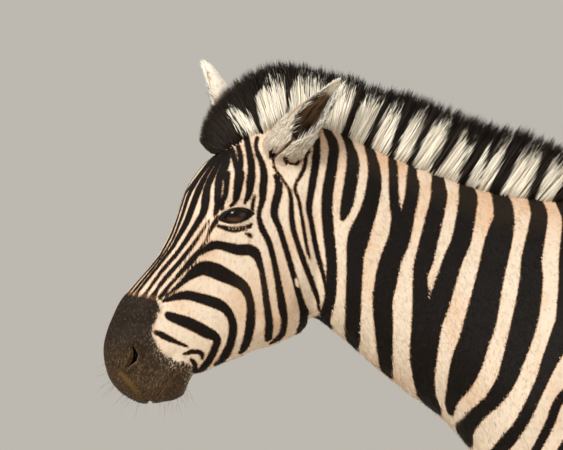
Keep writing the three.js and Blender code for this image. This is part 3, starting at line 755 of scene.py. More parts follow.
def relaxed(mesh: Mesh, weight: Array, rounds: int) -> None:
    """Draws a mesh's points towards the middle of their neighbours.

    Args:
        mesh: The mesh.
        weight: How far each point goes in a round, from 0 to 1.
        rounds: How many times.
    """
    points, edges = points_of(mesh), read(mesh.edges, "vertices", 2)
    moving = weight > 0.001
    kept = edges[moving[edges].any(axis=1)]
    ends, others = np.concatenate([kept, kept[:, ::-1]]).T
    degree = np.maximum(np.bincount(ends, minlength=len(points)), 1)[:, None]
    for _ in range(rounds):
        mean = np.stack([np.bincount(ends, points[others, k], len(points)) for k in range(3)], 1) / degree
        points += np.where(moving, weight, 0)[:, None] * (mean - points)
    move(mesh, points)


@dataclass(frozen=True)
class Eyelids:
    """The opening between the lids, in a plane of its own on the side of the head."""

    middle: tuple[float, float] = (-823.0, 1317.0)
    slope: float = 0.16
    half_length: float = 21.0
    upper: float = 9.8
    lower: float = 9.0
    rim: Triple = (33.0, 15.5, 12.5)
    globe: Triple = (21.0, 25.5, 22.0)
    globe_x: float = 80.0
    lid_depth: float = 1.9

    def turned(self, a: Array, b: Array, hand: int = 1) -> tuple[Array, Array]:
        """Turns places by the lids' slope, or back again with the other hand."""
        turn = hand * math.atan(self.slope)
        return a * math.cos(turn) - b * math.sin(turn), a * math.sin(turn) + b * math.cos(turn)

    def plane(self, points: Array) -> Array:
        """Places along and above the line between the eye's corners."""
        return np.stack(self.turned(points[:, 1] - self.middle[0], points[:, 2] - self.middle[1], -1), 1)

    def unplane(self, places: Array) -> tuple[Array, Array]:
        """The y and z of places in the lids' plane."""
        y, z = self.turned(*places.T)
        return self.middle[0] + y, self.middle[1] + z

    def almond(self, half_length: float, upper: float, lower: float) -> Array:
        """The corners of a fine polygon round an almond: its half length and its two half heights."""
        a = np.cos(np.linspace(0, np.pi, 40))
        above = np.stack([a * half_length, upper * (1 - a ** 2) ** 0.7], 1)
        below = np.stack([-a * half_length, -lower * (1 - a ** 2) ** 0.9], 1)
        return np.concatenate([above[:-1], below[:-1]])

    def globe_height(self, places: Array, grow: float = 0.0) -> Array:
        """How far out from the midline the eyeball, grown by a lid's thickness, stands."""
        depth, along, above = (r + grow for r in self.globe)
        out = 1 - (places[:, 0] / along) ** 2 - (places[:, 1] / above) ** 2
        return self.globe_x + depth * np.sqrt(np.maximum(out, 0))


LIDS = Eyelids()


class Part(Enum):
    """The closed shapes that are joined into the skin."""

    BODY = 0
    FORE_LEFT = 1
    FORE_RIGHT = 2
    HIND_LEFT = 3
    HIND_RIGHT = 4
    EAR_LEFT = 5
    EAR_RIGHT = 6
    DOCK = 7

    @property
    def side(self) -> Side:
        """The side that it is on."""
        return Side.RIGHT if self.name.endswith("RIGHT") else Side.LEFT

    @property
    def legs(self) -> Legs:
        """The pair of legs that it belongs to."""
        return FORE if self.name.startswith("FORE") else HIND


EAR_PARTS = (Part.EAR_LEFT, Part.EAR_RIGHT)


def on_ears(part: Array) -> Array:
    """Which of some part numbers are ears."""
    return (part == Part.EAR_LEFT.value) | (part == Part.EAR_RIGHT.value)


def on_legs(part: Array) -> Array:
    """Which of some part numbers are legs."""
    return (part > 0) & (part < Part.EAR_LEFT.value)


def ears_among(part: Array) -> Iterator[tuple[EarPose, Array]]:
    """Each ear's pose, with the points that lie on it, where there are any."""
    for ear in EAR_PARTS:
        chosen = part == ear.value
        if chosen.any():
            yield EARS[ear.side], chosen


@dataclass
class Skin:
    """One skin over all the flesh, with lids, folds, nostrils and lips."""

    around: int = 144
    crowding: float = 0.3
    leg_around: int = 34
    ear_steps: int = 14
    seam_reach: dict[str, float] = field(default_factory=lambda: {"FORE": 70, "HIND": 75, "EAR": 15, "DOCK": 30})
    body_stations: Array = field(default_factory=lambda: np.concatenate([
        np.arange(0, 22, 0.125), np.arange(22, 34, 1 / 6), np.arange(34, 52.01, 0.2)]))

    def body(self) -> tuple[Array, Faces]:
        """The trunk, neck and head as one closed tube."""
        share = np.arange(self.around) / self.around * 2 * np.pi
        angles = share - self.crowding * np.sin(share)
        grow = -np.interp(self.body_stations, [0, 20, 30, 36], [1.2, 1.4, 2.2, 3])
        return tube(body_slices(row_at(BODY, self.body_stations), angles, grow))

    def leg(self, part: Part) -> tuple[Array, Faces]:
        """One leg as a closed tube.

        Args:
            part: Which leg.

        Returns:
            Its points and faces.
        """
        legs = part.legs
        upper, lower = np.arange(0, legs.coarse, 0.25), np.arange(legs.coarse, len(legs.slices) - 0.99, 0.125)
        rows = row_at(legs.slices, np.concatenate([upper, lower]))
        grow = -np.interp(rows[:, 0], [100, 600, 900], [1.0, 1.6, 3])
        return tube(leg_slices(rows, legs, part.side, self.leg_around, grow))

    def ear(self, part: Part) -> tuple[Array, Faces]:
        """One ear as a closed scoop with a rounded rim.

        Args:
            part: Which ear.

        Returns:
            Its points and faces.
        """
        base, axis, mouth, across, length = EARS[part.side].axes()
        share, radius, opening, shift = row_at(EAR_SCOOP, np.arange(0, 9.01, 0.2)).T[..., None]
        radius = np.maximum(radius - 1, 2.6)
        sheet = np.interp(share, [0, 1], [4.2, 2.2])
        edge = np.radians(opening)
        step = np.linspace(0, 1, self.ear_steps + 1)[None]
        angle = edge + step * 2 * (np.pi - edge)
        inner = np.maximum(radius - sheet, radius * 0.4) + 0 * step
        outer = radius + 0 * step
        rim = ((outer + inner) / 2)[:, :1]
        lip = 0.5 * sheet / np.maximum(radius, 4)
        reach = np.concatenate([outer, rim, inner[:, ::-1], rim], axis=1)
        turn = np.concatenate([angle, angle[:, -1:] + lip, angle[:, ::-1], angle[:, :1] - lip], axis=1)
        deep = np.cos(turn) * reach + bulge(radius, opening)
        wide = np.sin(turn) * reach
        centre = base + share * length * axis + shift * mouth
        return tube(centre[:, None] + deep[..., None] * mouth + wide[..., None] * across)

    def shape(self, part: Part) -> tuple[Array, Faces]:
        """Any of the closed shapes: the dock is the fleshy part of the tail.

        Args:
            part: Which shape.

        Returns:
            Its points and faces.
        """
        if part is Part.BODY:
            return self.body()
        if part is Part.DOCK:
            return tube(hanging_slices(DOCK, np.arange(0, len(DOCK) - 0.99, 0.125), 24, -1.5))
        return self.ear(part) if part in EAR_PARTS else self.leg(part)

    def joined(self) -> Mesh:
        """Joins all the closed shapes into one, whose faces remember where they came from."""
        marks = [bpy.data.materials.new(p.name.lower()) for p in Part]
        objects = {}
        for part in Part:
            mesh = mixed_mesh(part.name.lower(), *self.shape(part))
            for mark in marks:
                mesh.materials.append(mark)
            mesh.polygons.foreach_set("material_index", np.full(len(mesh.polygons), part.value, np.int32))
            objects[part] = placed(part.name.lower(), mesh)
        for part in [Part.DOCK, *(p for p in Part if p not in (Part.BODY, Part.DOCK))]:
            union = objects[Part.BODY].modifiers.new(part.name, "BOOLEAN")
            union.operation, union.solver, union.object = "UNION", "MANIFOLD", objects[part]
            union.material_mode = "INDEX"
        graph = bpy.context.evaluated_depsgraph_get()
        mesh = bpy.data.meshes.new_from_object(objects[Part.BODY].evaluated_get(graph))
        for other in objects.values():
            old = other.data
            bpy.data.objects.remove(other)
            bpy.data.meshes.remove(old)
        return mesh

    def parts_at(self) -> tuple[Array, Array]:
        """The lowest and the highest part number among each point's faces, which differ on a seam."""
        face, corner = read(self.mesh.polygons, "material_index"), read(self.mesh.loops, "vertex_index")
        number = np.repeat(face, read(self.mesh.polygons, "loop_total"))
        low, high = np.full(len(self.mesh.vertices), 99), np.full(len(self.mesh.vertices), -1)
        np.minimum.at(low, corner, number)
        np.maximum.at(high, corner, number)
        return low, high

    def blend_seams(self) -> None:
        """Smooths the flesh where a limb, an ear or the tail meets the body."""
        points, (low, high) = points_of(self.mesh), self.parts_at()
        weight = np.zeros(len(points))
        for part in list(Part)[1:]:
            reach = self.seam_reach[part.name.split("_")[0]]
            seam = points[(low == Part.BODY.value) & (high == part.value)]
            tree = KDTree(len(seam))
            for i, point in enumerate(seam):
                tree.insert(point, i)
            tree.balance()
            box = np.all((points > seam.min(0) - reach) & (points < seam.max(0) + reach), 1)
            for i in np.nonzero(box)[0]:
                away = tree.find(points[i])[2]
                if away < reach:
                    weight[i] = max(weight[i], 0.6 * (1 - away / reach) ** 0.7)
        relaxed(self.mesh, weight, 36)

    def refined(self) -> None:
        """Divides the skin more finely at the eyes, nostrils, mouth and shoulders and on the nose."""
        shape = bmesh.new()
        shape.from_mesh(self.mesh)
        for turn in range(2):
            points = np.array([v.co[:] for v in shape.verts]) / MM
            out, flat = np.abs(points[:, 0]), points[:, 1:]
            # Round the eyes and the nostrils twice, the second time in a smaller ring.
            chosen = (np.linalg.norm(LIDS.plane(points), axis=1) < 37 - 4 * turn) & (out > 60)
            chosen |= (to_stroke(flat, NOSTRIL)[0] < 20 - 4 * turn) & (out > 12)
            # Once on the ridge of the nose, the points of the shoulders and along the mouth.
            if turn == 0:
                nose = (flat[:, 0] < -835) & (flat[:, 1] > 1165) & (flat[:, 1] < 1432) & (out < 92)
                chosen |= nose & ((flat[:, 1] - 1176) * 0.52 - (flat[:, 0] + 956) > -6)
                chosen |= (out > 90) & (np.abs(flat - (-200, 795)) < (140, 105)).all(axis=1)
                chosen |= to_stroke(flat, MOUTH)[0] < 8
            picked = [e for e in shape.edges if chosen[e.verts[0].index] and chosen[e.verts[1].index]]
            bmesh.ops.subdivide_edges(shape, edges=picked, cuts=1, use_grid_fill=True)
            shape.verts.index_update()
        bmesh.ops.triangulate(shape, faces=[f for f in shape.faces if len(f.verts) > 4])
        shape.to_mesh(self.mesh)
        shape.free()
        points = points_of(self.mesh)
        relaxed(self.mesh, 0.5 * ((points[:, 1] < -700) & (points[:, 2] > 985)), 2)

    def modelled(self) -> None:
        """Raises muscles, bones and folds, and cuts the nostrils and the mouth."""
        points, normals = points_of(self.mesh), normals_of(self.mesh)
        flat, facing = points[:, 1:], np.abs(normals[:, 0])
        lift = np.zeros(len(points))
        for line in FORMS.split("\n"):
            height, square, text = line.split(" ", 2)
            height, square, curve = float(height), float(square), even_curve(numbers(text), 12)
            reach = 2.2 * curve[:, 2].max()
            low, high = curve[:, :2].min(0) - reach, curve[:, :2].max(0) + reach
            near = np.nonzero(np.all((flat > low) & (flat < high), 1) & (facing > square - 0.2))[0]
            away, half = to_stroke(flat[near], curve)
            lift[near] += height * bell(away, half) * ease(square - 0.2, square + 0.2, facing[near])
        # On the muzzle a nostril is a slit in a raised rim, and the mouth a groove with a roll on each side.
        near = np.nonzero((flat[:, 0] < -880) & (flat[:, 1] < 1140) & (flat[:, 1] > 980))[0]
        slit = to_edge(flat[near], NOSTRIL)
        rear = ease(-1010, -998, flat[near, 0])
        ridge = -13 * ease(2.2, -3, slit) + (3.4 - 1.6 * rear) * bell(slit - 5.5, 3.8)
        away, half = to_stroke(flat[near], MOUTH)
        lift[near] += ease(0.1, 0.35, facing[near]) * ridge - 3.2 * bell(away, half) + 1.8 * bell(away - 7, 4.5)
        move(self.mesh, points + normals * lift[:, None])

    def lidded(self) -> None:
        """Opens the lids round the eyeballs and folds the skin about them."""
        points = points_of(self.mesh)
        places = LIDS.plane(points)
        near = np.nonzero((np.linalg.norm(places, axis=1) < 55) & (np.abs(points[:, 0]) > 55))[0]
        p, rim, gap = places[near], LIDS.almond(LIDS.half_length, LIDS.upper, LIDS.lower), 0.1
        # The points nearest to the lids' rim are moved onto it, so that it is a clean line.
        e = polygon_field(p, rim)
        slope = np.stack([polygon_field(p + np.array(d) * gap, rim) - e for d in ((1, 0), (0, 1))], 1) / gap
        snap = np.abs(e) < 0.62
        p[snap] -= slope[snap] * e[snap, None]
        e[snap] = 0
        # Outside the rim the skin rises to lie over the eyeball, with a soft edge and then folds.
        x = np.abs(points[near, 0])
        lid = LIDS.globe_height(p, LIDS.lid_depth)
        mix = np.clip(0.5 + 0.5 * (lid - x) / 6, 0, 1)
        outer = x * (1 - mix) + lid * mix + 6 * mix * (1 - mix) + 0.9 * bell(e - 2.0, 1.5)
        above, below = ease(-3, 5, p[:, 1]), ease(3, -5, p[:, 1])
        folds = above * (-2.0 * bell(e - 7, 1.5) + 1.2 * bell(e - 12, 4) - 0.8 * bell(e - 17, 1.6))
        folds -= below * (1.3 * bell(e - 6.5, 1.6) + 0.8 * bell(e - 12, 1.8))
        outer += ease(34, 24, np.abs(p[:, 0])) * folds
        # Inside it the skin drops behind the eyeball's face.
        floor = np.maximum(LIDS.globe_height(p) - 3.2, 86.5)
        x = np.where(e < -0.05, np.minimum(floor, outer), np.where(e < 0.05, outer - 0.5, outer))
        points[near] = row_of(np.sign(points[near, 0]) * x, *LIDS.unplane(p))
        move(self.mesh, points)

    def build(self) -> Mesh:
        """Makes the skin's mesh, not yet dressed."""
        mesh = self.mesh = self.joined()
        self.blend_seams()
        self.refined()
        self.modelled()
        self.lidded()
        self.part = self.parts_at()[1]
        for mark in list(mesh.materials):
            bpy.data.materials.remove(mark)
        mesh.materials.clear()
        mesh.name = "skin"
        mesh.shade_smooth()
        mesh.calc_loop_triangles()
        log.info("skin: %d points, %d triangles", len(mesh.vertices), len(mesh.loop_triangles))
        return mesh


@dataclass
class Unwrap:
    """Flattens the skin: how far along and how far round each place lies."""

    skin: Skin

    def __post_init__(self) -> None:
        """Measures the body's length along its middle line."""
        rows = row_at(BODY, self.skin.body_stations)
        self.top, self.low, self.half, self.level = rows[:, 0:2], rows[:, 2:4], rows[:, 4], rows[:, 5]
        middle = self.low + (self.top - self.low) * self.level[:, None]
        self.run = np.concatenate([[0], np.cumsum(np.linalg.norm(np.diff(middle, axis=0), axis=1))])
        self.tree = KDTree(len(middle) * 3)
        for share in (0.1, 0.5, 0.9):
            for j, place in enumerate(self.low + (self.top - self.low) * share):
                self.tree.insert((0, *place), j)
        self.tree.balance()

    def station(self, points: Array) -> Array:
        """Finds the body slice that each point lies on.

        Args:
            points: Points on the body.

        Returns:
            The slices' indices, with fractions.
        """
        best = np.array([self.tree.find((0, y, z))[1] for y, z in points[:, 1:]], float)
        for _ in range(2):
            i = np.clip(np.floor(best).astype(int), 0, len(self.run) - 2)
            here, there = self.beyond(points, i), self.beyond(points, i + 1)
            best = i + here / np.where(np.abs(here - there) < 1e-6, 1, here - there)
            best = np.clip(best, i - 6.0, i + 6.0).clip(0, len(self.run) - 1.001)
        return best

    def beyond(self, points: Array, i: Array) -> Array:
        """How far each point lies behind slice i."""
        up = unit(self.top[i] - self.low[i])
        gap = points[:, 1:] - self.low[i]
        return gap[:, 0] * up[:, 1] - gap[:, 1] * up[:, 0]

    def body(self, points: Array) -> tuple[Array, Array, Array]:
        """Places on the body's unwrap.

        Args:
            points: Points on the body.

        Returns:
            The distance along and around in millimetres, and the turn from the back, -1 to 1.
        """
        s = self.station(points)
        rows = np.column_stack([self.top, self.low, self.level, self.half, self.run])
        at = [np.interp(s, np.arange(len(rows)), column) for column in rows.T]
        top, low, (level, half, run) = np.stack(at[:2], 1), np.stack(at[2:4], 1), at[4:]
        height = np.linalg.norm(top - low, axis=1)
        rise = ((points[:, 1:] - low) * unit(top - low)).sum(1) / np.maximum(height, 1) - level
        turn = np.arctan2(points[:, 0] / np.maximum(half, 1), 2 * rise) / np.pi
        return run, np.abs(turn) * half * 4, turn

    def limb(self, points: Array, part: Part) -> tuple[Array, Array, Array]:
        """Places on the unwrap of a limb, an ear or the tail.

        Args:
            points: Points on it.
            part: Which it is.

        Returns:
            The same three numbers as for the body.
        """
        z = points[:, 2]
        if part is Part.DOCK:
            turn = np.arctan2(points[:, 0], points[:, 1] - np.interp(-z, -DOCK[:, 1], DOCK[:, 0])) / np.pi
            return 1250 - z, turn * 60, turn
        if part in EAR_PARTS:
            pose = EARS[part.side]
            share, _, wide, deep, into = pose.seen(points)
            turn = np.arctan2(wide, -deep) / np.pi * 0.48 + np.where(into > 0, 0.5, -0.5)
            return share * pose.axes()[4], turn * 90, turn
        front, back, inner, outer = part.legs.rims(z)
        ahead = (front + back) / 2 + part.legs.shift(part.side, z) - points[:, 1]
        turn = np.arctan2(np.abs(points[:, 0]) - (inner + outer) / 2, ahead) / np.pi
        return 1000 - z, turn * (back - front + outer - inner) * 0.8, turn


@dataclass
class Markings:
    """Black stripes laid on the skin, alike on both sides but for small differences."""

    skin: Skin
    line_step: float = 6.0
    steepest: float = 2.6

    def __post_init__(self) -> None:
        """Lays the stripes on the skin."""
        flesh = self.skin.part < Part.EAR_LEFT.value
        polygons = [tuple(p.vertices) for p in self.skin.mesh.polygons if all(flesh[v] for v in p.vertices)]
        self.tree = BVHTree.FromPolygons(points_of(self.skin.mesh).tolist(), polygons)
        self.black = [self.middle_line(), self.belly_line(), *self.tail_marks()]
        for broader, lines in BLACK_STRIPES.items():
            for text in lines.split("\n"):
                self.black += [self.laid(numbers(text) + [0, 0, broader], side) for side in Side]
        self.black += [self.laid_from_front(numbers(text)) for text in FOREHEAD.split("\n")]
        for legs, rings in ((FORE, FORE_RINGS), (HIND, HIND_RINGS)):
            self.black += [self.ring(row, legs, side) for row in rings for side in Side]
        self.white = [self.laid(numbers(text), side) for text in WHITE_STROKES.split("\n") for side in Side]

    def laid(self, points: Array, side: Side) -> Array:
        """Lays one stripe on a side of the animal.

        Args:
            points: Rows of y, z and half width in the side plane.
            side: The side.

        Returns:
            Rows of x, y, z and half width along the skin.
        """
        curve = even_curve(points, self.line_step)
        if side is Side.RIGHT:
            loose = ease(-720, -420, curve[:, 0]) * 7 + 0.5
            curve[:, 0] += loose * np.sin(curve[:, 1] / 71 + curve[0, 0] / 40)
            curve[:, 2] *= 1 + 0.12 * np.sin(curve[:, 1] / 47 + curve[0, 0] / 31)
        curve[:, 0] += ease(380, 520, curve[:, 0]) * HIND.shift(side, curve[:, 1])
        result = []
        for (y, z, half), way in zip(curve, unit(np.gradient(curve[:, :2], axis=0))):
            hit, normal, _, _ = self.tree.ray_cast(Vector((side.value * 400, y, z)), Vector((-side.value, 0, 0)))
            if hit is None or hit.x * side.value < 0:
                hit, slope = self.tree.find_nearest(Vector((side.value * 4, y, z)))[0], 1
            else:
                slant = (normal.y * -way[1] + normal.z * way[0]) / max(abs(normal.x), 0.05)
                slope = min(math.hypot(1, slant), self.steepest)
            result.append((*hit, half * slope))
        return np.array(result)

    def laid_from_front(self, points: Array) -> Array:
        """Lays one stripe on the forehead, as `laid` does on a side."""
        curve = even_curve(points, self.line_step)
        hits = [self.tree.ray_cast(Vector((x, -1400, z)), Vector((0, 1, 0)))[0] for x, z, _ in curve]
        return np.array([(*hit, half) for hit, half in zip(hits, curve[:, 2]) if hit is not None])

    def ring(self, row: Array, legs: Legs, side: Side) -> Array:
        """A stripe round a leg.

        Args:
            row: Height, tilt from front to back, half width and share of the way round.
            legs: The pair that the leg belongs to.
            side: The side that it is on.

        Returns:
            Rows of x, y, z and half width.
        """
        z, tilt, half, share = row
        z += 0 if side is Side.LEFT else 5 * math.sin(z)
        angle = np.linspace(-np.pi, np.pi, 33)
        high = z + tilt * np.cos(angle) * 0.5 + 2.5 * np.sin(3 * angle + z) * half / 8
        front, back, inner, outer = legs.rims(high)
        out = np.sin(angle)
        x = side.value * ((inner + outer) / 2 + (outer - inner) / 2 * squared(out, 2.2))
        y = (front + back) / 2 - (back - front) / 2 * squared(np.cos(angle), 2.2) + legs.shift(side, high)
        width = half * (0.62 + 0.38 * out) * (1 + 0.12 * np.sin(2 * angle + z * 0.7))
        width -= (half + 3) * (1 - ease(0.75 - 2 * share, 1.25 - 2 * share, out)) * (share < 1)
        # Where a ring would be hair-thin it stops.
        width -= 5 * ease(2.4, 1.4, width)
        return np.stack([x, y, high, width], 1)

    def line(self, y: Array, z: Array, width: Array) -> Array:
        """A dark line in the middle plane, on the skin nearest to some places."""
        hits = [self.tree.find_nearest(Vector((0, *place)))[0] for place in zip(y, z)]
        return np.array([(0, hit.y, hit.z, half) for hit, half in zip(hits, width)])

    def middle_line(self) -> Array:
        """The dark line along the back, from the mane to the tail."""
        y = np.arange(-190, 900, 8.0)
        return self.line(y, 1400 - np.maximum(0, y - 820) * 1.2, 5.5 + 1.5 * np.sin(y / 60) + 3 * ease(500, 850, y))

    def belly_line(self) -> Array:
        """The dark line along the belly."""
        y = np.arange(-330, 520, 10.0)
        return self.line(y, 600 + 0 * y, 9 * np.sin(np.pi * (y + 340) / 880) ** 0.5)

    def tail_marks(self) -> list[Array]:
        """The line along the top of the tail and the bars at its sides."""
        line = row_at(DOCK, np.linspace(0, len(DOCK) - 1, 60))
        way = unit(np.gradient(line[:, :2], axis=0))
        back = line[:, :2] + np.stack([-way[:, 1], way[:, 0]], 1) * line[:, 2:3]
        marks = [row_of(0, *back.T, 4)]
        angle = np.linspace(-2.0, 2.0, 15)
        for (y, z, deep, wide), (along, down) in zip(line[5:52:5], way[5:52:5]):
            out = deep * np.cos(angle)
            marks.append(row_of(wide * np.sin(angle), y - down * out, z + along * out, 4.2 * np.cos(angle * 0.6)))
        return marks

    def stripe(self, points: Array, part: Array) -> Array:
        """How far each point lies from the nearest black hair, negative within it.

        Args:
            points: Points on or near the skin.
            part: The number of the shape that each belongs to.

        Returns:
            One distance per point.
        """
        result = np.maximum(stroke_field(points, self.black), -stroke_field(points, self.white))
        for pose, chosen in ears_among(part):
            result[chosen] = self.ear_stripe(points[chosen], pose)
        return result

    def ear_stripe(self, points: Array, pose: EarPose) -> Array:
        """The ear's bands: black above the base and below the tip.

        Args:
            points: Points on the ear.
            pose: How the ear stands.

        Returns:
            One signed distance per point, negative in the black.
        """
        share, front, wide, _, _ = pose.seen(points)
        back = ease(4, -4, front)
        band = np.abs(share - 0.27) * pose.axes()[4] - 13 * back
        rim = 2.5 - np.abs(np.abs(wide) - np.interp(share, [0.3, 0.5, 0.7, 0.9], [32, 29, 23, 12])) * 0.6
        result = np.minimum(band + 14 * (1 - back), np.where(share > 0.34, 3 - rim, 12))
        for text in EAR_FOOT_STRIPES.split("\n"):
            foot = to_edge(points[:, 1:], even_curve(numbers(text), self.line_step)) - 1.0
            result = np.minimum(result, np.where((share < 0.2) & (back < 0.5), foot, 12))
        return result

    def muzzle(self, points: Array) -> Array:
        """How far each point lies outside the dark of the muzzle, negative within it."""
        result = np.full(len(points), 60.0)
        near = (points[:, 1] < -860) & (points[:, 2] < 1230)
        result[near] = polygon_field(points[near, 1:], MUZZLE_EDGE)
        return result

    def bare(self, points: Array, part: Array) -> Array:
        """Where dark skin shows: on the lids and lips, in the nostrils and inside the ears.

        Args:
            points: Points on the skin.
            part: The number of the shape that each belongs to.

        Returns:
            From 0, hairy, to 1, bare.
        """
        result = np.zeros(len(points))
        near = (np.linalg.norm(LIDS.plane(points), axis=1) < 50) & (np.abs(points[:, 0]) > 55)
        result[near] = ease(0.8, -0.8, polygon_field(LIDS.plane(points[near]), LIDS.almond(*LIDS.rim)))
        near = (points[:, 1] < -905) & (points[:, 2] < 1130)
        nostril = ease(3, -1, to_edge(points[near, 1:], NOSTRIL)) * (np.abs(points[near, 0]) > 12)
        mouth = 0.9 * ease(1.2, -1.2, to_edge(points[near, 1:], MOUTH))
        result[near] = np.maximum(nostril, mouth)
        for pose, chosen in ears_among(part):
            share, _, _, _, into = pose.seen(points[chosen])
            result[chosen] = 0.55 * ease(-0.4, 1.2, into) * ease(0.9, 0.74, share) * ease(0.14, 0.22, share)
        return result

    def warmth_and_sheen(self, points: Array, part: Array) -> Array:
        """How far the pale hair is tinged: peach along the mane, ochre by the nostril, ashen to white on the ears.
        Where it is high the black is also lightened to umber, which on the cheek is painted sheen.

        Args:
            points: Points on the skin.
            part: The number of the shape that each belongs to.

        Returns:
            From 0 to 1, and below 0 on the ears.
        """
        y, z = points[:, 1], points[:, 2]
        crest = np.interp(y, BODY[13:40, 0], BODY[13:40, 1])
        nape = ease(-125, -15, z - crest) * ease(-800, -730, y) * ease(0, -200, y)
        # On the cheek this bell is painted sheen: it lightens the black there to umber, and tinges the pale hair buff.
        cheek = bell(y + 790, 60) * bell(z - 1190, 70)
        result = 0.5 * nape + 0.45 * cheek + 0.5 * ease(500, 200, z) * (part > 0)
        near = (y < -940) & (z < 1130)
        for curve, share in ((FLAP, 0.6), (STREAK, 0.8)):
            away, half = to_stroke(points[near, 1:], curve)
            result[near] += share * bell(away, half + 1)
        result = np.clip(result, 0, 1)
        for pose, chosen in ears_among(part):
            result[chosen] = -0.45 - 0.55 * ease(0.45, 0.85, pose.seen(points[chosen])[0])
        return result

    def dress(self, unwrap: Unwrap) -> None:
        """Keeps the markings and the lie of the hair on the skin's mesh.

        Args:
            unwrap: The skin's unwrap.
        """
        mesh, part = self.skin.mesh, self.skin.part
        points = points_of(mesh)
        store(mesh, "stripe", self.stripe(points, part))
        store(mesh, "muzzle", self.muzzle(points))
        store(mesh, "bare", self.bare(points, part))
        store(mesh, "warm", self.warmth_and_sheen(points, part))
        # Each face keeps one shape's lie, so that none is stretched across a seam.
        total, corner = read(mesh.polygons, "loop_total"), read(mesh.loops, "vertex_index")
        first = np.concatenate([[0], np.cumsum(total)[:-1]])
        kind = np.repeat(np.minimum.reduceat(part[corner], first), total)
        lie = np.zeros((len(corner), 3))
        for limb in Part:
            chosen = kind == limb.value
            which, back = np.unique(corner[chosen], return_inverse=True)
            some = points[which]
            along, around, _ = unwrap.body(some) if limb is Part.BODY else unwrap.limb(some, limb)
            lie[chosen] = np.stack([along, around, some[:, 0] * 0.2], 1)[back]
        store(mesh, "lie", lie, "CORNER")


# ------------------------------------------------------------------ finishes


def add_node(tree: bpy.types.NodeTree, kind: str, inputs: dict | None = None, **settings: object) -> bpy.types.Node:
    """Adds a node to a tree.

    Args:
        tree: The tree.
        kind: The node's type.
        inputs: Sockets by name or number, each with a value, a hex colour or the socket that feeds it.
        settings: The node's own settings.

    Returns:
        The node.
    """
    node = tree.nodes.new(kind)
    for name, value in settings.items():
        setattr(node, name, value)
    for key, value in (inputs or {}).items():
        if isinstance(value, Socket):
            tree.links.new(value, node.inputs[key])
        else:
            is_colour = isinstance(value, str) and value.startswith("#")
            node.inputs[key].default_value = linear_colour(value) if is_colour else value
    return node


class Mixer:
    """A material in the making: short ways to the nodes that the finishes share."""

    def __init__(self, name: str) -> None:
        """Starts a material with no nodes."""
        self.material = bpy.data.materials.new(name)
        self.material.use_nodes = True
        self.tree = self.material.node_tree
        self.tree.nodes.clear()

    @cached_property
    def place(self) -> Socket:
        """The place on the object."""
        return self.node("TexCoord", {}, "Object")

    @cached_property
    def height(self) -> Socket:
        """The height above the ground."""
        return self.node("SeparateXYZ", {0: self.place}, 2)

    def node(self, kind: str, inputs: dict, output: int | str = 0, **settings: object) -> Socket:
        """Adds a node and gives one of its outputs."""
        return add_node(self.tree, "ShaderNode" + kind, inputs, **settings).outputs[output]

    def kept(self, *names: str) -> list[Socket]:
        """Numbers that the mesh keeps."""
        return [self.node("Attribute", {}, "Fac", attribute_name=name) for name in names]

    def total(self, a: Socket, b: float, c: Socket) -> Socket:
        """The product of the first two, and the third added."""
        return self.node("Math", {0: a, 1: b, 2: c}, operation="MULTIPLY_ADD")

    def times(self, a: Socket, b: Socket) -> Socket:
        """A product."""
        return self.node("Math", {0: a, 1: b}, operation="MULTIPLY")

    def remap(self, value: Socket, low: float, high: float, to_low: float = 0.0, to_high: float = 1.0) -> Socket:
        """A smooth step of a value between two limits."""
        inputs = {0: value, 1: low, 2: high, 3: to_low, 4: to_high}
        return self.node("MapRange", inputs, interpolation_type="SMOOTHSTEP")

    def blend(self, share: Socket, first: Socket | str, second: Socket | str) -> Socket:
        """Mixes two colours."""
        return self.node("Mix", {0: share, 6: first, 7: second}, 2, data_type="RGBA")

    def speckle(self, place: Socket, sizes: Triple, detail: float = 2.0) -> Socket:
        """Noise, from 0 to 1, whose spots have given sizes along the three directions of a place."""
        scaled = self.node("Mapping", {"Vector": place, "Scale": tuple(1 / s for s in sizes)})
        return self.node("TexNoise", {"Vector": scaled, "Scale": 1.0, "Detail": detail})

    def bump(self, height: Socket, distance: float, strength: float) -> Socket:
        """The normal of a surface roughened by a height."""
        return self.node("Bump", {"Height": height, "Distance": distance, "Strength": strength})

    def finish(self, colour: Socket | str, roughness: float, ior: float, more: dict) -> Material:
        """Closes the material with its shader.

        Args:
            colour: Its colour.
            roughness: Its roughness.
            ior: Its index of refraction.
            more: Other inputs of the shader.

        Returns:
            The material.
        """
        inputs = {"Base Color": colour, "Roughness": roughness, "IOR": ior, **more}
        shader = self.node("BsdfPrincipled", inputs)
        add_node(self.tree, "ShaderNodeOutputMaterial", {"Surface": shader})
        return self.material


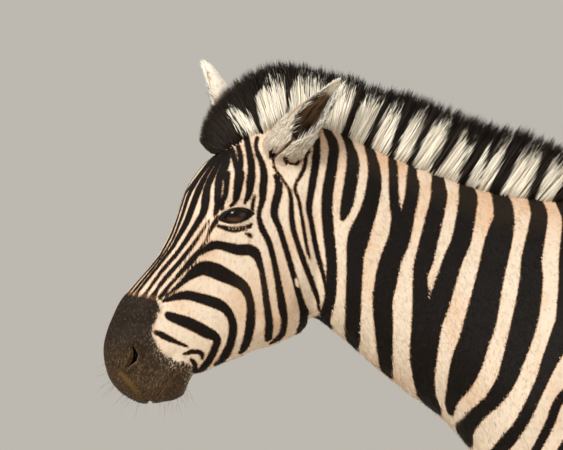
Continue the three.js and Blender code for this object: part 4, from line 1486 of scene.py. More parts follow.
@dataclass(frozen=True)
class HairCoat:
    """Short hair lying flat: each hair glints a little along its length, and the whole is softly dull."""

    cream: str = "#DBCDBC"
    buff: str = "#D2B092"
    shade: str = "#A08A6E"
    rust: str = "#94683F"
    ash: str = "#A79A8B"
    snow: str = "#EFE8DE"
    black: str = "#0D0806"
    brown: str = "#2B1C12"
    # Umber lightens the black as painted sheen, mostly on the cheek.
    sheen_umber: str = "#2F261D"
    muzzle: str = "#20170F"
    lip: str = "#3F3020"
    chaff: str = "#8E7C66"
    ochre: str = "#6B5122"
    bare: str = "#120D0B"
    ear_skin: str = "#755D48"
    # Spots on the skin, in mm along the hair, across it and inwards.
    hair: Triple = (8, 1.1, 2.4)
    strand: Triple = (42, 5, 8)
    thin_strand: Triple = (16, 1.3, 3)
    ear_streak: Triple = (22, 2.2, 5)
    # Spots in the object's space, in m.
    fuzz: Triple = (0.003, 0.003, 0.003)
    patch: Triple = (0.07, 0.07, 0.09)
    fleck: Triple = (0.005, 0.005, 0.011)
    dry_grain: Triple = (0.0022, 0.0022, 0.005)
    pale_hair: Triple = (0.004, 0.003, 0.005)
    bump_height: float = 0.0011
    bump_strength: float = 0.55
    roughness: float = 0.62
    specular: float = 0.12
    ior: float = 1.5

    def material(self, name: str, bumpy: bool) -> Material:
        """Builds the material.

        Args:
            name: Its name.
            bumpy: Whether hairs are drawn as bump, as on the skin, or are mesh already.

        Returns:
            The material.
        """
        mix = Mixer(name)
        place, speckle, remap, blend = mix.place, mix.speckle, mix.remap, mix.blend
        lie = mix.node("Attribute", {}, "Vector", attribute_name="lie")
        stripe, muzzle, bare, warm, tint = mix.kept("stripe", "muzzle", "bare", "warm", "tint")
        # Hairs about 1 mm apart fray the stripes' edges by 1 mm or so.
        hairs = speckle(lie, self.hair) if bumpy else speckle(place, self.fuzz)
        fray = mix.total(mix.node("Math", {0: hairs, 1: 0.5}, operation="SUBTRACT"), 6.0, stripe)
        patches = speckle(place, self.patch, 3)
        fine = speckle(place, self.fleck)
        light = blend(remap(mix.total(warm, 0.45, patches), 0.42, 0.95), self.cream, self.buff)
        for value, steps, colour in (
                (warm, (0.0, -0.45, 0, 0.75), self.ash), (warm, (-0.5, -1.0), self.snow),
                (fine, (0.45, 0.8, 0, 0.34), self.shade), (tint, (0.0, 1.0, 0, 0.26), self.shade),
                (fray, (2.4, 0.2, 0, 0.75), self.rust)):
            light = blend(remap(value, *steps), light, colour)
        inked = blend(remap(fray, -1.6, 0.2), self.black, self.brown)
        inked = blend(remap(fine, 0.5, 0.85, 0, 0.5), inked, self.brown)
        # Painted sheen: where the warm number is high, as on the cheek, the black is lightened towards umber.
        inked = blend(remap(warm, 0.15, 0.5, 0, 0.5), inked, self.sheen_umber)
        coat = blend(remap(fray, 0.7, -0.7), light, inked)
        # The muzzle is near black above and paler, greyish brown about the lips.
        edge = mix.total(fine, 12.0, mix.total(patches, 8.0, mix.total(hairs, 12.0, muzzle)))
        low = remap(mix.total(patches, 0.06, mix.height), 1.16, 1.04)
        grains = remap(speckle(place, self.dry_grain, 1), 0.52, 0.78, 0, 0.55)
        nose = blend(mix.times(remap(low, 0, 1, 0.4, 1), grains), blend(low, self.muzzle, self.lip), self.chaff)
        nose = blend(remap(warm, 0.1, 1.0, 0, 0.7), nose, self.ochre)
        nose = blend(remap(fine, 0.45, 0.8, 0, 0.6), nose, self.black)
        # Pale hairs are scattered over the dark skin where the muzzle's edge meets the lips.
        scattered = remap(speckle(place, self.pale_hair), 0.5, 0.62)
        nose = blend(mix.times(mix.times(low, remap(edge, -6, 14, 0, 0.8)), scattered), nose, self.cream)
        coat = blend(mix.times(remap(edge, 23, 17), remap(low, 0.7, 0, 0, 0.35)), coat, self.rust)
        coat = blend(remap(edge, 18.5, 13.5), coat, nose)
        # Dark skin: brown inside the ears, near black on the lids and in the nostrils.
        streaks = speckle(lie, self.ear_streak) if bumpy else speckle(place, (1, 1, 1))
        skin = blend(remap(streaks, 0.4, 0.65, 0, 0.8), self.ear_skin, self.brown)
        skin = blend(remap(bare, 0.62, 0.95), skin, self.bare)
        coat = blend(remap(bare, 0.0, 0.5), coat, skin)
        more = {"Specular IOR Level": self.specular}
        if bumpy:
            height = mix.total(speckle(lie, self.strand), 0.8, speckle(lie, self.thin_strand, 3))
            more["Normal"] = mix.bump(height, self.bump_height, self.bump_strength)
        return mix.finish(coat, self.roughness, self.ior, more)


@dataclass(frozen=True)
class StiffHair:
    """Coarse mane and tail hair: straighter and glossier than the coat, black where its tone is below zero."""

    white: str = "#FFFBF0"
    straw: str = "#EBE0CB"
    black: str = "#15100C"
    rust: str = "#3A291C"

    def material(self) -> Material:
        """Builds the material."""
        mix = Mixer("stiff_hair")
        tone, lock = mix.kept("tone", "lock")
        light = mix.blend(mix.remap(lock, 0.3, 1.0, 0, 0.5), self.white, self.straw)
        ink = mix.blend(mix.remap(lock, 0.4, 1.0, 0, 0.7), self.black, self.rust)
        colour = mix.blend(mix.remap(tone, 1.5, -1.5), light, ink)
        return mix.finish(colour, 0.55, 1.5, {"Specular IOR Level": 0.25})


@dataclass(frozen=True)
class WetEye:
    """The eyeball: dark brown iris and a level pupil seen through a wet, glossy cornea."""

    iris: str = "#1A0C07"
    glow: str = "#5E3220"
    pupil: str = "#040405"
    white: str = "#1C120E"

    def material(self) -> Material:
        """Builds the material."""
        mix = Mixer("wet_eye")
        pupil, iris = mix.kept("pupil", "iris")
        # Light that enters from above glows low in the iris.
        colour = mix.blend(mix.remap(mix.height, 1.318, 1.306), self.iris, self.glow)
        colour = mix.blend(mix.remap(iris, -1, 1), colour, self.white)
        colour = mix.blend(mix.remap(pupil, 0.8, -0.8), colour, self.pupil)
        return mix.finish(colour, 0.15, 1.33, {"Coat Weight": 0.1, "Coat Roughness": 0.2, "Coat IOR": 1.38})


@dataclass(frozen=True)
class HoofHorn:
    """Worn horn: dull, dark grey-brown, with rings of growth about 5 mm apart and dust near the ground."""

    horn: str = "#3A322C"
    dry: str = "#75665A"

    def material(self) -> Material:
        """Builds the material."""
        mix = Mixer("hoof_horn")
        rings = mix.speckle(mix.place, (0.2, 0.2, 0.006), 3)
        scuffs = mix.speckle(mix.place, (0.012, 0.012, 0.02), 3)
        colour = mix.blend(mix.remap(rings, 0.2, 0.9), self.horn, self.dry)
        colour = mix.blend(mix.remap(mix.height, 0.03, 0.0, 0, 0.5), colour, self.dry)
        return mix.finish(colour, 0.55, 1.54, {"Normal": mix.bump(mix.total(scuffs, 0.4, rings), 0.0015, 0.7)})


@dataclass(frozen=True)
class MattePlaster:
    """A smooth, matt, pale floor."""

    colour: str = "#D9D2C6"

    def material(self) -> Material:
        """Builds the material."""
        return Mixer("matte_plaster").finish(self.colour, 0.9, 1.45, {"Specular IOR Level": 0.2})


# ------------------------------------------------------------------ eyes, hooves and hair


@dataclass
class Eyeball:
    """One eyeball, a little wider than high, with a bulging cornea."""

    side: Side
    gaze: Triple = (0.93, -0.34, 0.06)
    iris_radius: float = 17.0
    pupil: tuple[float, float] = (9.5, 5.0)
    bulge: float = 1.1

    def build(self, material: Material) -> Piece:
        """Makes the eyeball.

        Args:
            material: Its material.

        Returns:
            The piece.
        """
        depth, along, above = LIDS.globe
        down = np.linspace(0.03, np.pi - 0.03, 56)[:, None]
        round_ = np.linspace(0, 2 * np.pi, 72, endpoint=False)[None]
        flat = LIDS.turned(along * np.sin(down) * np.cos(round_), above * np.sin(down) * np.sin(round_))
        points, faces = tube(row_of(depth * np.cos(down), *flat))
        turn = math.atan(LIDS.slope)
        way = unit(np.array(self.gaze))
        ahead = unit(np.array([0, math.cos(turn), math.sin(turn)]) - way * way[1] * math.cos(turn))
        u, v, front = points @ ahead, points @ np.cross(way, ahead), points @ way > 0
        radius = np.hypot(u, v)
        points += np.where(front, self.bulge * bell(radius, 12), 0)[:, None] * way
        iris = np.where(front, radius - self.iris_radius, 30)
        pupil = np.where(front, (np.hypot(u / self.pupil[0], v / self.pupil[1]) - 1) * self.pupil[1], 30)
        points += [LIDS.globe_x, LIDS.middle[0] + 1.5, LIDS.middle[1] + 1.0]
        points[:, 0] *= self.side.value
        mesh = mixed_mesh("eyeball", points, outward(points, faces))
        return finished(f"eyeball_{self.side.name.lower()}", mesh, material, iris=iris, pupil=pupil)


@dataclass
class Hoof:
    """One hoof: a wall that flares to the ground, with faint rings of growth."""

    kind: str
    side: Side
    around: int = 56
    levels: int = 40
    ripple: float = 0.35

    def build(self, material: Material) -> Piece:
        """Makes the hoof.

        Args:
            material: Its material.

        Returns:
            The piece.
        """
        legs = FORE if self.kind == "fore" else HIND
        rows = row_at(legs.hoof, np.linspace(0, 2, self.levels))
        z = rows[:, 0] = np.clip(rows[:, 0], 0, HOOF_TOP)
        grow = self.ripple * np.sin(z / 5.5 * 2 * np.pi / 1.3) - 2.2 * ease(3, 0, z) + 1.2 * ease(60, 70, z)
        grow[-1] -= 3
        mesh = mixed_mesh("hoof", *tube(leg_slices(rows, legs, self.side, self.around, grow, 2.4)))
        return finished(f"hoof_{self.kind}_{self.side.name.lower()}", mesh, material)


def hair_mesh(name: str, points: Array, template: Array, patch: Array) -> Mesh:
    """Joins many alike closed hairs into one mesh with a map.

    Args:
        name: The mesh's name.
        points: Points by hair and corner.
        template: One hair's faces.
        patch: Each point's place on the unwrap, by hair and corner.

    Returns:
        The mesh.
    """
    count, corners, _ = points.shape
    faces = (template[None] + np.arange(count)[:, None, None] * corners).reshape(-1, 3)
    mesh = flat_mesh(name, points.reshape(-1, 3), faces)
    layer = mesh.uv_layers.new(name="OFBake")
    layer.data.foreach_set("uv", patch.reshape(-1, 2)[faces.ravel()].astype(np.float32).ravel())
    return mesh


def strands(name: str, paths: Array, width: Array, root: Array, rng: Chance, taper: float = 0.75) -> Mesh:
    """Long hairs with three sides and a point.

    Args:
        name: The mesh's name.
        paths: Points by hair and place along it.
        width: Each hair's width near its root.
        root: Each hair's place on the unwrap.
        rng: The source of chance.
        taper: How late the hairs thin.

    Returns:
        The mesh.
    """
    count, steps, _ = paths.shape
    way = unit(np.gradient(paths, axis=1))
    turn = (rng.uniform(0, 2 * np.pi, count)[:, None] + np.arange(3) * 2 * np.pi / 3)[:, None, :, None]
    first = unit(np.cross(way, np.array([0.93, 0.31, 0.17])))
    out = np.cos(turn) * first[:, :, None] + np.sin(turn) * np.cross(way, first)[:, :, None]
    place = np.linspace(0, 1, steps)
    thick = width[:, None] * 0.58 * (1 - place ** (1 / (1 - taper + 1e-6)) * 0.85)
    rings = (paths[:, :, None] + out * thick[..., None, None])[:, :-1].reshape(count, -1, 3)
    points = np.concatenate([rings, paths[:, -1:]], axis=1)
    last = (steps - 2) * 3
    edges = [(j + k, j + (k + 1) % 3) for j in range(0, last + 1, 3) for k in range(3)]
    faces = [(0, 2, 1)]
    for a, b in edges[:last]:
        faces += [(a, b, b + 3), (a, b + 3, a + 3)]
    faces += [(a, b, last + 3) for a, b in edges[last:]]
    side = np.append(np.tile([-0.0013, 0.0013, 0.0], steps - 1), 0)
    along = np.append(np.repeat(place[:-1], 3), 1) * 0.005
    return hair_mesh(name, points, np.array(faces), root[:, None] + np.stack([side, along], 1))


@dataclass
class Mane:
    """The upright mane and forelock: stiff hairs in pointed locks over a denser middle."""

    flesh: BVHTree
    parts: dict[str, tuple[int, float, float]] = field(default_factory=lambda: {
        "forelock": (6900, 0.35, 5.5), "mane_upper": (4500, 5.5, 11.5), "mane_lower": (3600, 11.5, 17.7)})
    locks_per_row: float = 9.0
    lock_kinds: int = 400
    hair_steps: int = 6
    curve: float = 1.5
    thinnest: float = 0.95
    thickest: float = 1.6
    core_height: float = 0.72
    core_width: float = 0.56
    core_sides: int = 28
    seed: int = 11

    def __post_init__(self) -> None:
        """Reads the bands, each run on below its root."""
        self.bands = []
        for rows in map(numbers, MANE_BANDS.split("\n")):
            below = rows[0] + (rows[0] - rows[1]) * [1.3, 1.3, 0]
            self.bands.append(even_curve(np.vstack([below, rows]), 8))
        self.wedge = even_curve(MANE_WEDGE, 8)

    def tone(self, points: Array, feather: Array | float) -> Array:
        """How far each point lies from black hair, negative within it.

        Args:
            points: Points in the mane.
            feather: How much further up than the rest each point's hair stays white.

        Returns:
            One distance per point.
        """
        result = np.clip(np.interp(points[:, 1], *MANE_EDGE.T) + feather - points[:, 2], -40, 40)
        for band in self.bands:
            result = np.minimum(result, to_edge(points[:, 1:], band))
        return np.maximum(result, feather * 0.4 - 2 - to_edge(points[:, 1:], self.wedge))

    def lean(self, station: Array) -> Array:
        """How many rows further back a hair's tip stands than its root."""
        return np.interp(station, [0, 4.5, 6.5, 8, 10, 16, 18], [0, 0, 0.15, 0.55, 0.85, 0.75, 0.2])

    def hairs(self, name: str, hand: int, rng: Chance) -> tuple[Array, Array, Array, Array]:
        """Lays out the hairs of one part of the mane.

        Args:
            name: The part.
            hand: 1 for the left half, -1 for the right and 0 for both.
            rng: The source of chance.

        Returns:
            The paths, widths, places on the unwrap, and each hair's lock.
        """
        count, low, high = self.parts[name]
        station = rng.uniform(low, high, count)
        side = np.clip(rng.normal(0, 0.55, count), -1, 1)
        side = np.abs(side) * hand if hand else side
        lock = np.floor(station * self.locks_per_row + side * 1.5)
        chance = np.random.default_rng(self.seed + 5).uniform(-1, 1, (self.lock_kinds, 3))
        chance = chance[lock.astype(int) % self.lock_kinds]
        rows = row_at(MANE, station)
        # The forelock is the loosest part.
        loose = ease(6.0, 4.0, station)
        own = np.clip(station + self.lean(station), 0, 18) + rng.normal(0, 0.05, count) * (1 + 2.5 * loose)
        shared = (lock + 0.5) / self.locks_per_row
        shared = shared + self.lean(shared) + chance[:, 0] * 0.03
        tips = row_at(MANE, np.clip(own * 0.5 + shared * 0.5, 0, 18))
        full = 0.99 + 0.03 * chance[:, 1] + rng.normal(0, 0.03, count) * (1 + loose)
        full = (full - np.abs(rng.normal(0, 0.07, count))) * (1 - 0.10 * np.abs(side) ** 2)
        base = rows[:, 2:4] + (rows[:, 0:2] - rows[:, 2:4]) * 0.03
        end = tips[:, 2:4] + (tips[:, 0:2] - tips[:, 2:4]) * np.minimum(full, 1.05)[:, None]
        share = np.linspace(0, 1, self.hair_steps)
        paths = np.empty((count, self.hair_steps, 3))
        paths[..., 1:] = base[:, None] + (end - base)[:, None] * share[None, :, None]
        spread = 0.62 + 0.3 * np.sin(np.pi * np.minimum(share * 1.2, 1)) - 0.25 * share ** 3
        paths[..., 0] = side[:, None] * rows[:, 4:5] * spread
        # The forelock grows from a wider patch of the brow, so its outer roots sit lower on the skin.
        broad = side * rows[:, 4] * (0.75 + 0.75 * ease(6.5, 4.0, station)) * rng.uniform(0.8, 1.3, count)
        found = np.array([self.flesh.find_nearest(Vector((x, *place)))[0] for x, place in zip(broad, base)])
        paths += (found - paths[:, 0])[:, None] * ((1 - share) ** 1.5)[None, :, None]
        loose = loose[:, None]
        paths[..., 0] += (chance[:, 2:3] * 5 + rng.normal(0, 1, (count, 1)) * (1.2 + 3 * loose)) * share ** 2
        bow = rng.normal(0, self.curve, (count, 2)) * (1 + loose) + chance[:, :2] * 2
        paths[..., 1:] += bow[:, None] * np.sin(np.pi * share)[None, :, None]
        width = rng.uniform(self.thinnest, self.thickest, count)
        place = np.stack([(station - low) / (high - low) * 0.99, 0.02 + (side + 1) * 0.47], 1)
        return paths, width, place, (lock * 0.37 + rng.uniform(0, 0.5, count)) % 1

    def core(self) -> Array:
        """Points of the denser middle, by slice and angle."""
        rows = row_at(MANE, np.arange(0.3, 17.8, 0.2))
        rows[:, 0:2] = rows[:, 2:4] + (rows[:, 0:2] - rows[:, 2:4]) * self.core_height
        rows[:, 4] *= self.core_width
        angle = np.arange(self.core_sides) / self.core_sides * 2 * np.pi
        return body_slices(rows, angle, np.zeros(len(rows)), swell=False)

    def build(self, material: Material) -> dict[str, Piece]:
        """Makes the mane.

        Args:
            material: The stiff hair's material.

        Returns:
            The pieces by the solid that each stands for, with the middle as "mane_core".
        """
        pieces = {}
        halves = [("forelock", 0)] + [(name, hand) for name in ("mane_upper", "mane_lower") for hand in (1, -1)]
        for number, (name, hand) in enumerate(halves):
            rng = np.random.default_rng(self.seed + number)
            paths, width, place, lock = self.hairs(name, hand, rng)
            name += ("", "_left", "_right")[hand]
            mesh = strands(name, paths, width, place, rng, taper=0.6)
            points = points_of(mesh)
            each = len(points) // len(paths)
            loose, feather = (np.repeat(rng.normal(*spread, len(paths)), each) for spread in ((-0.8, 1.4), (-3, 13)))
            pieces[name] = finished(f"hair_{name}", mesh, material, tone=self.tone(points, feather) + loose,
                                    lock=np.repeat(lock, each))
        points, faces = tube(self.core())
        pieces["mane_core"] = finished("mane_core", mixed_mesh("mane_core", points, faces), material,
                                       tone=self.tone(points, -12.0), lock=np.full(len(points), 0.8))
        return pieces


@dataclass
class Tail:
    """The long black hair that hangs from the lower half of the tail."""

    count: int = 3000
    steps: int = 8
    lowest_root: float = 846.0
    root_span: float = 230.0
    lowest_tip: float = 484.0
    tip_span: float = 220.0
    root_odds: tuple[float, float] = (1.0, 1.6)
    tip_odds: tuple[float, float] = (1.1, 2.2)
    locks: int = 19
    standoff: float = 0.22
    wave: float = 58.0
    wave_varies: float = 16.0
    sway: float = 6.0
    lock_drift: float = 9.0
    hair_drift: float = 6.0
    white_above: float = 940.0
    white_share: float = 0.06
    seed: int = 23

    def build(self, material: Material) -> Piece:
        """Makes the hanging hair.

        Args:
            material: Its material.

        Returns:
            The piece.
        """
        rng = np.random.default_rng(self.seed)
        start = self.lowest_root + self.root_span * rng.beta(*self.root_odds, self.count)
        angle = rng.uniform(0, 2 * np.pi, self.count)
        fill = np.sqrt(rng.uniform(0.05, 1, self.count))
        end = self.lowest_tip + self.tip_span * rng.beta(*self.tip_odds, self.count)
        share = np.linspace(0, 1, self.steps)[None]
        z = start[:, None] + (end - start)[:, None] * share
        centre, wide_y, wide_x = (
            np.where(z > level, np.interp(-z, -DOCK[:, 1], DOCK[:, k]), np.interp(-z, -TUFT[:, 1], TUFT[:, k]))
            for level, k in ((900, 0), (880, 2), (880, 3)))
        reach = np.where(share < 0.05, 0.9, fill[:, None] * share ** 0.6 + (1 - share ** 0.6))
        lock = np.floor(angle * 3)
        # Each lock stands off by its own amount and waves by itself.
        own = np.random.default_rng(self.seed + 1).uniform(-1, 1, (3, self.locks))
        off, slow, drift = own[:, lock.astype(int) % self.locks, None]
        reach = reach * (1 + self.standoff * off * share)
        sway = np.sin(z / (self.wave + self.wave_varies * slow) + lock[:, None] * 2) * self.sway * share
        drift = self.lock_drift * drift + rng.normal(0, self.hair_drift, (self.count, 1))
        sway = sway + drift * share ** 2
        x = np.cos(angle)[:, None] * wide_x * reach + sway
        y = centre + np.sin(angle)[:, None] * wide_y * reach + sway * 0.7
        rise = (start - self.lowest_root) / self.root_span
        place = np.stack([0.005 + angle / 2 / np.pi * 0.98, 0.02 + rise * 0.9], 1)
        mesh = strands("tail_hair", np.stack([x, y, z], -1), rng.uniform(1.1, 1.9, self.count), place, rng)
        tone = -10 + 18 * (rng.uniform(0, 1, self.count) < self.white_share) * (start > self.white_above)
        tone, lock = (np.repeat(v, len(mesh.vertices) // self.count) for v in (tone, rng.uniform(0, 1, self.count)))
        return finished("hair_tail", mesh, material, tone=tone, lock=lock)


@dataclass(frozen=True)
class FringeKind:
    """One kind of hair in an ear, where 0 is the ear's foot and 1 its tip.

    It has its count, its stretch along the ear, how many walls' depth it grows within, its way (lengthways, out of
    the mouth and away from the middle) and its shortest and longest.
    """

    count: int
    stretch: tuple[float, float]
    walls_in: float
    way: Triple
    size: tuple[float, float]


@dataclass
class EarFringe:
    """The long soft hairs inside one ear, round its rim and over its base."""

    part: Part
    inner: FringeKind = FringeKind(1500, (0.2, 0.88), 1.9, (0.85, 0.3, -0.34), (10, 22))
    rim: FringeKind = FringeKind(900, (0.12, 0.99), 1.0, (0.85, 0.42, -0.02), (4, 8))
    foot: FringeKind = FringeKind(500, (-0.1, 0.34), 0.0, (0.8, 0.3, 0.1), (7, 14))
    wall: tuple[float, float] = (2.1, 1.1)
    tip_tuft: float = 5.0
    curl: float = 0.3
    disorder: float = 0.13
    steps: int = 4
    seed: int = 31

    def build(self, material: Material) -> Piece:
        """Makes the ear's hairs.

        Args:
            material: Their material.

        Returns:
            The piece.
        """
        rng = np.random.default_rng(self.seed + self.part.value)
        base, axis, mouth, across, length = EARS[self.part.side].axes()
        kinds = (self.inner, self.rim, self.foot)
        kind = np.repeat([0, 1, 2], [k.count for k in kinds])
        count = len(kind)
        inner, rim, foot = (kind == k for k in range(3))
        share = np.choose(kind, [rng.uniform(*k.stretch, count) for k in kinds])
        radius, opening, shift = scoop(share)
        edge = np.radians(opening)
        # Most of the long hair grows from the lower rim and hides it.
        hand = np.where(rng.uniform(0, 1, count) < np.where(inner, 0.9, 0.5), 1.0, -1.0)
        into = np.where(inner, rng.uniform(0, 1, count) ** 1.3 * 0.6, 0.0)
        into = np.where(foot, rng.uniform(0, 0.45, count), into)
        angle = edge + into * (np.pi - edge)
        reach = radius - 1 - np.interp(share, [0, 1], self.wall) * np.choose(kind, [k.walls_in for k in kinds])
        deep = np.cos(angle) * reach + bulge(radius, opening) + shift
        root = base + row_of(share * length, deep, hand * np.sin(angle) * reach) @ [axis, mouth, across]
        lengthways, outwards, sideways = np.array([k.way for k in kinds])[kind].T
        out = row_of(lengthways, outwards, sideways * hand) @ [axis, mouth, across]
        out = unit(out + rng.normal(0, self.disorder, (count, 3)))
        size = np.choose(kind, [rng.uniform(*k.size, count) for k in kinds])
        size += self.tip_tuft * ease(0.72, 0.95, share) * rim
        size *= 1 - 0.6 * ease(0.6, 1, share) * inner
        steps = np.linspace(0, 1, self.steps)[None, :, None]
        size = size[:, None, None]
        paths = root[:, None] + out[:, None] * size * steps + axis * size * self.curl * steps ** 2
        place = np.stack([0.01 + share * 0.97, 0.5 + hand * (0.02 + into * 0.8) * 0.48], 1)
        mesh = strands("ear_fringe", paths, rng.uniform(0.6, 0.9, count), place, rng, taper=0.6)
        # Some hairs are dark: many inside, most along one rim, and a few at the tip and the foot.
        chance = rng.uniform(0, 1, count)
        tone = np.where(inner & (chance < 0.4), rng.uniform(-4, 1, count), 8.0)
        dark = rim & (hand < 0) & (share > 0.2) & (share < 0.74) & (chance < 0.92)
        tone = np.where(dark, rng.uniform(-2, 0.6, count), tone)
        tone = np.where(rim & (share > 0.5) & (share < 0.8) & (chance < 0.25), -5.0, tone)
        tone = np.where(foot & (chance < 0.1), 0.2, tone)
        tone, lock = (np.repeat(v, len(mesh.vertices) // count) for v in (tone, rng.uniform(0, 0.6, count)))
        return finished(f"fringe_{self.part.name.lower()}", mesh, material, tone=tone, lock=lock)


class Region(Enum):
    """The coat's pieces."""

    HEAD = "head"
    NECK = "neck"
    TRUNK = "trunk"
    LIMBS = "limbs"


@dataclass
class Coat:
    """Short tufts over the skin, lying along the body, each one colour of the markings."""

    markings: Markings
    unwrap: Unwrap
    counts: dict[Region, int] = field(default_factory=lambda: {
        Region.HEAD: 46000, Region.NECK: 38000, Region.TRUNK: 40000, Region.LIMBS: 36000})
    head_ends: float = -690.0
    neck_ends: float = -300.0
    ear_crowding: float = 1.4
    seed: int = 41

    def __post_init__(self) -> None:
        """Reads the skin's triangles."""
        skin = self.markings.skin
        self.points, self.normals = points_of(skin.mesh), normals_of(skin.mesh)
        self.corners = read(skin.mesh.loop_triangles, "vertices", 3)
        a, b, c = self.points[self.corners].transpose(1, 0, 2)
        self.area = np.linalg.norm(np.cross(b - a, c - a), axis=1) / 2
        self.y, self.kind = ((a + b + c) / 3)[:, 1], skin.part[self.corners].min(axis=1)

    def lie_of_hair(self, points: Array, part: Array) -> Array:
        """The way that the hair lies, before it is laid on the skin.

        Args:
            points: Points on the skin.
            part: The number of the shape that each belongs to.

        Returns:
            One direction per point.
        """
        x, y, z = points.T
        side = np.sign(x)
        # From the nose on, each way takes over by a share: cheek, brow's whorl, neck, trunk, rump and legs.
        turns = [
            (unit(row_of(side * 0.1, 0.45, -0.85)), ease(-900, -800, y + (1300 - z) * 0.25)),
            (unit(row_of(0 * y, y + 905.01, z - 1370)), ease(1360, 1420, z)),
            (unit(np.array([0, 0.55, -0.83])), ease(-760, -690, y)),
            (unit(np.array([0, 0.9, -0.42])), ease(-330, -120, y)),
            (unit(np.array([0, 0.5, -0.86])), ease(480, 760, y)),
            (np.array([0, 0.12, -1]), ease(770, 560, z) * on_legs(part)),
        ]
        way = unit(row_of(side * 0.15, -0.42, -0.9))
        for toward, share in turns:
            way = way + (toward - way) * share[:, None]
        way[part == Part.DOCK.value] = [0, 0.1, -1]
        for ear in EAR_PARTS:
            way[part == ear.value] = EARS[ear.side].axes()[1]
        return way

    def size_of_hair(self, points: Array, normals: Array, part: Array) -> tuple[Array, Array]:
        """The tufts' size, in millimetres.

        Args:
            points: Their roots.
            normals: The skin's normals there.
            part: The number of the shape that each grows on.

        Returns:
            Their lengths and how far they stand off.
        """
        y, z = points[:, 1], points[:, 2]
        length = 3.3 + 4.1 * ease(-760, -620, y) + 1.4 * ease(-400, -100, y) - 0.8 * ease(-900, -980, y)
        length = np.where(on_legs(part), np.interp(z, [60, 400, 700, 900], [5, 5.5, 7, 8.4]), length)
        length = np.where(on_ears(part), 4.0, length)
        under = ease(-0.2, -0.8, normals[:, 2]) * (z > 650)
        lift = 0.1 + 0.035 * length + 1.3 * under
        length = length * (1 + 0.55 * under)
        fetlock = on_legs(part) & (z < 260) & (z > 120) & (normals[:, 1] > 0.3)
        return np.where(fetlock, length * 1.9, length), np.where(fetlock, lift + 2, lift)

    def build(self, material: Material) -> dict[Region, Piece]:
        """Makes the coat's pieces.

        Args:
            material: The hair's material.

        Returns:
            The pieces by region.
        """
        body, ears = self.kind == 0, on_ears(self.kind)
        head, fore = self.y < self.head_ends, self.y < self.neck_ends
        where = {Region.HEAD: body & head | ears, Region.NECK: body & fore & ~head,
                 Region.TRUNK: body & ~fore, Region.LIMBS: ~body & ~ears}
        hairy = self.area * np.where(ears, self.ear_crowding, 1.0)
        return {region: self.piece(region, hairy * chosen, np.random.default_rng(self.seed + number), material)
                for number, (region, chosen) in enumerate(where.items())}

    def scattered(self, weight: Array, count: int, rng: Chance) -> tuple[Array, Array, Array]:
        """Picks places on the skin.

        Args:
            weight: Each triangle's share of them.
            count: How many.
            rng: The source of chance.

        Returns:
            The places, the skin's normals there, and the number of the shape that each lies on.
        """
        pick = rng.choice(len(weight), count, p=weight / weight.sum())
        u, v = rng.uniform(0, 1, (2, count))
        flip = u + v > 1
        u, v = np.where(flip, 1 - u, u), np.where(flip, 1 - v, v)
        share, corners = row_of(1 - u - v, u, v)[..., None], self.corners[pick]
        return (self.points[corners] * share).sum(1), unit((self.normals[corners] * share).sum(1)), self.kind[pick]

    def piece(self, region: Region, weight: Array, rng: Chance, material: Material) -> Piece:
        """Makes one piece of the coat.

        Args:
            region: Which piece.
            weight: Each of the skin's triangles' share of its tufts.
            rng: The source of chance.
            material: The hair's material.

        Returns:
            The piece.
        """
        root, normal, part = self.scattered(weight, self.counts[region], rng)
        keep = self.markings.bare(root, part) < 0.35
        root, normal, part = root[keep], normal[keep], part[keep]
        length, lift = self.size_of_hair(root, normal, part)
        way = self.lie_of_hair(root, part)
        way = way - normal * (way * normal).sum(1)[:, None]
        way = unit(unit(way) + rng.normal(0, 0.16, way.shape))
        length = (length * rng.uniform(0.7, 1.2, len(length)))[:, None]
        tufts = self.tufts(root, normal, way, length, lift[:, None], rng)
        spot = root + way * length * 0.45
        stray = rng.normal(0, 1.0, len(root)) * ease(-900, -500, root[:, 1]) * 0.6 + rng.normal(0, 0.5, len(root))
        values = {"stripe": self.markings.stripe(spot, part) + stray,
                  "muzzle": self.markings.muzzle(spot) + rng.normal(0, 2.5, len(root)),
                  "warm": self.markings.warmth_and_sheen(root, part), "tint": rng.uniform(0, 1, len(root))}
        patch = self.place(region, root, part)[:, None] + [[-0.0014, 0], [0.0014, 0], [0, 0.001], [0, 0.0026]]
        faces = np.array([(0, 1, 2), (0, 2, 3), (2, 1, 3), (1, 0, 3)])
        mesh = hair_mesh(f"coat_{region.value}", tufts, faces, patch)
        mesh.shade_flat()
        return finished(mesh.name, mesh, material, **{k: np.repeat(v, 4) for k, v in values.items()})

    def tufts(self, root: Array, normal: Array, way: Array, length: Array, lift: Array, rng: Chance) -> Array:
        """Shapes flat blades with a ridge.

        Args:
            root: The tufts' roots.
            normal: The skin's normals there.
            way: The way that each tuft lies.
            length: Their lengths.
            lift: How far their tips stand off.
            rng: The source of chance.

        Returns:
            Four points per tuft.
        """
        across = unit(np.cross(way, normal)) * ((0.5 + 0.06 * length) * rng.uniform(0.8, 1.2, (len(root), 1)))
        sunk = root - normal * 0.12
        ridge = root + way * (length * 0.45) + normal * (0.16 + lift * 0.35)
        return np.stack([sunk + across, sunk - across, ridge, root + way * length + normal * lift], axis=1)

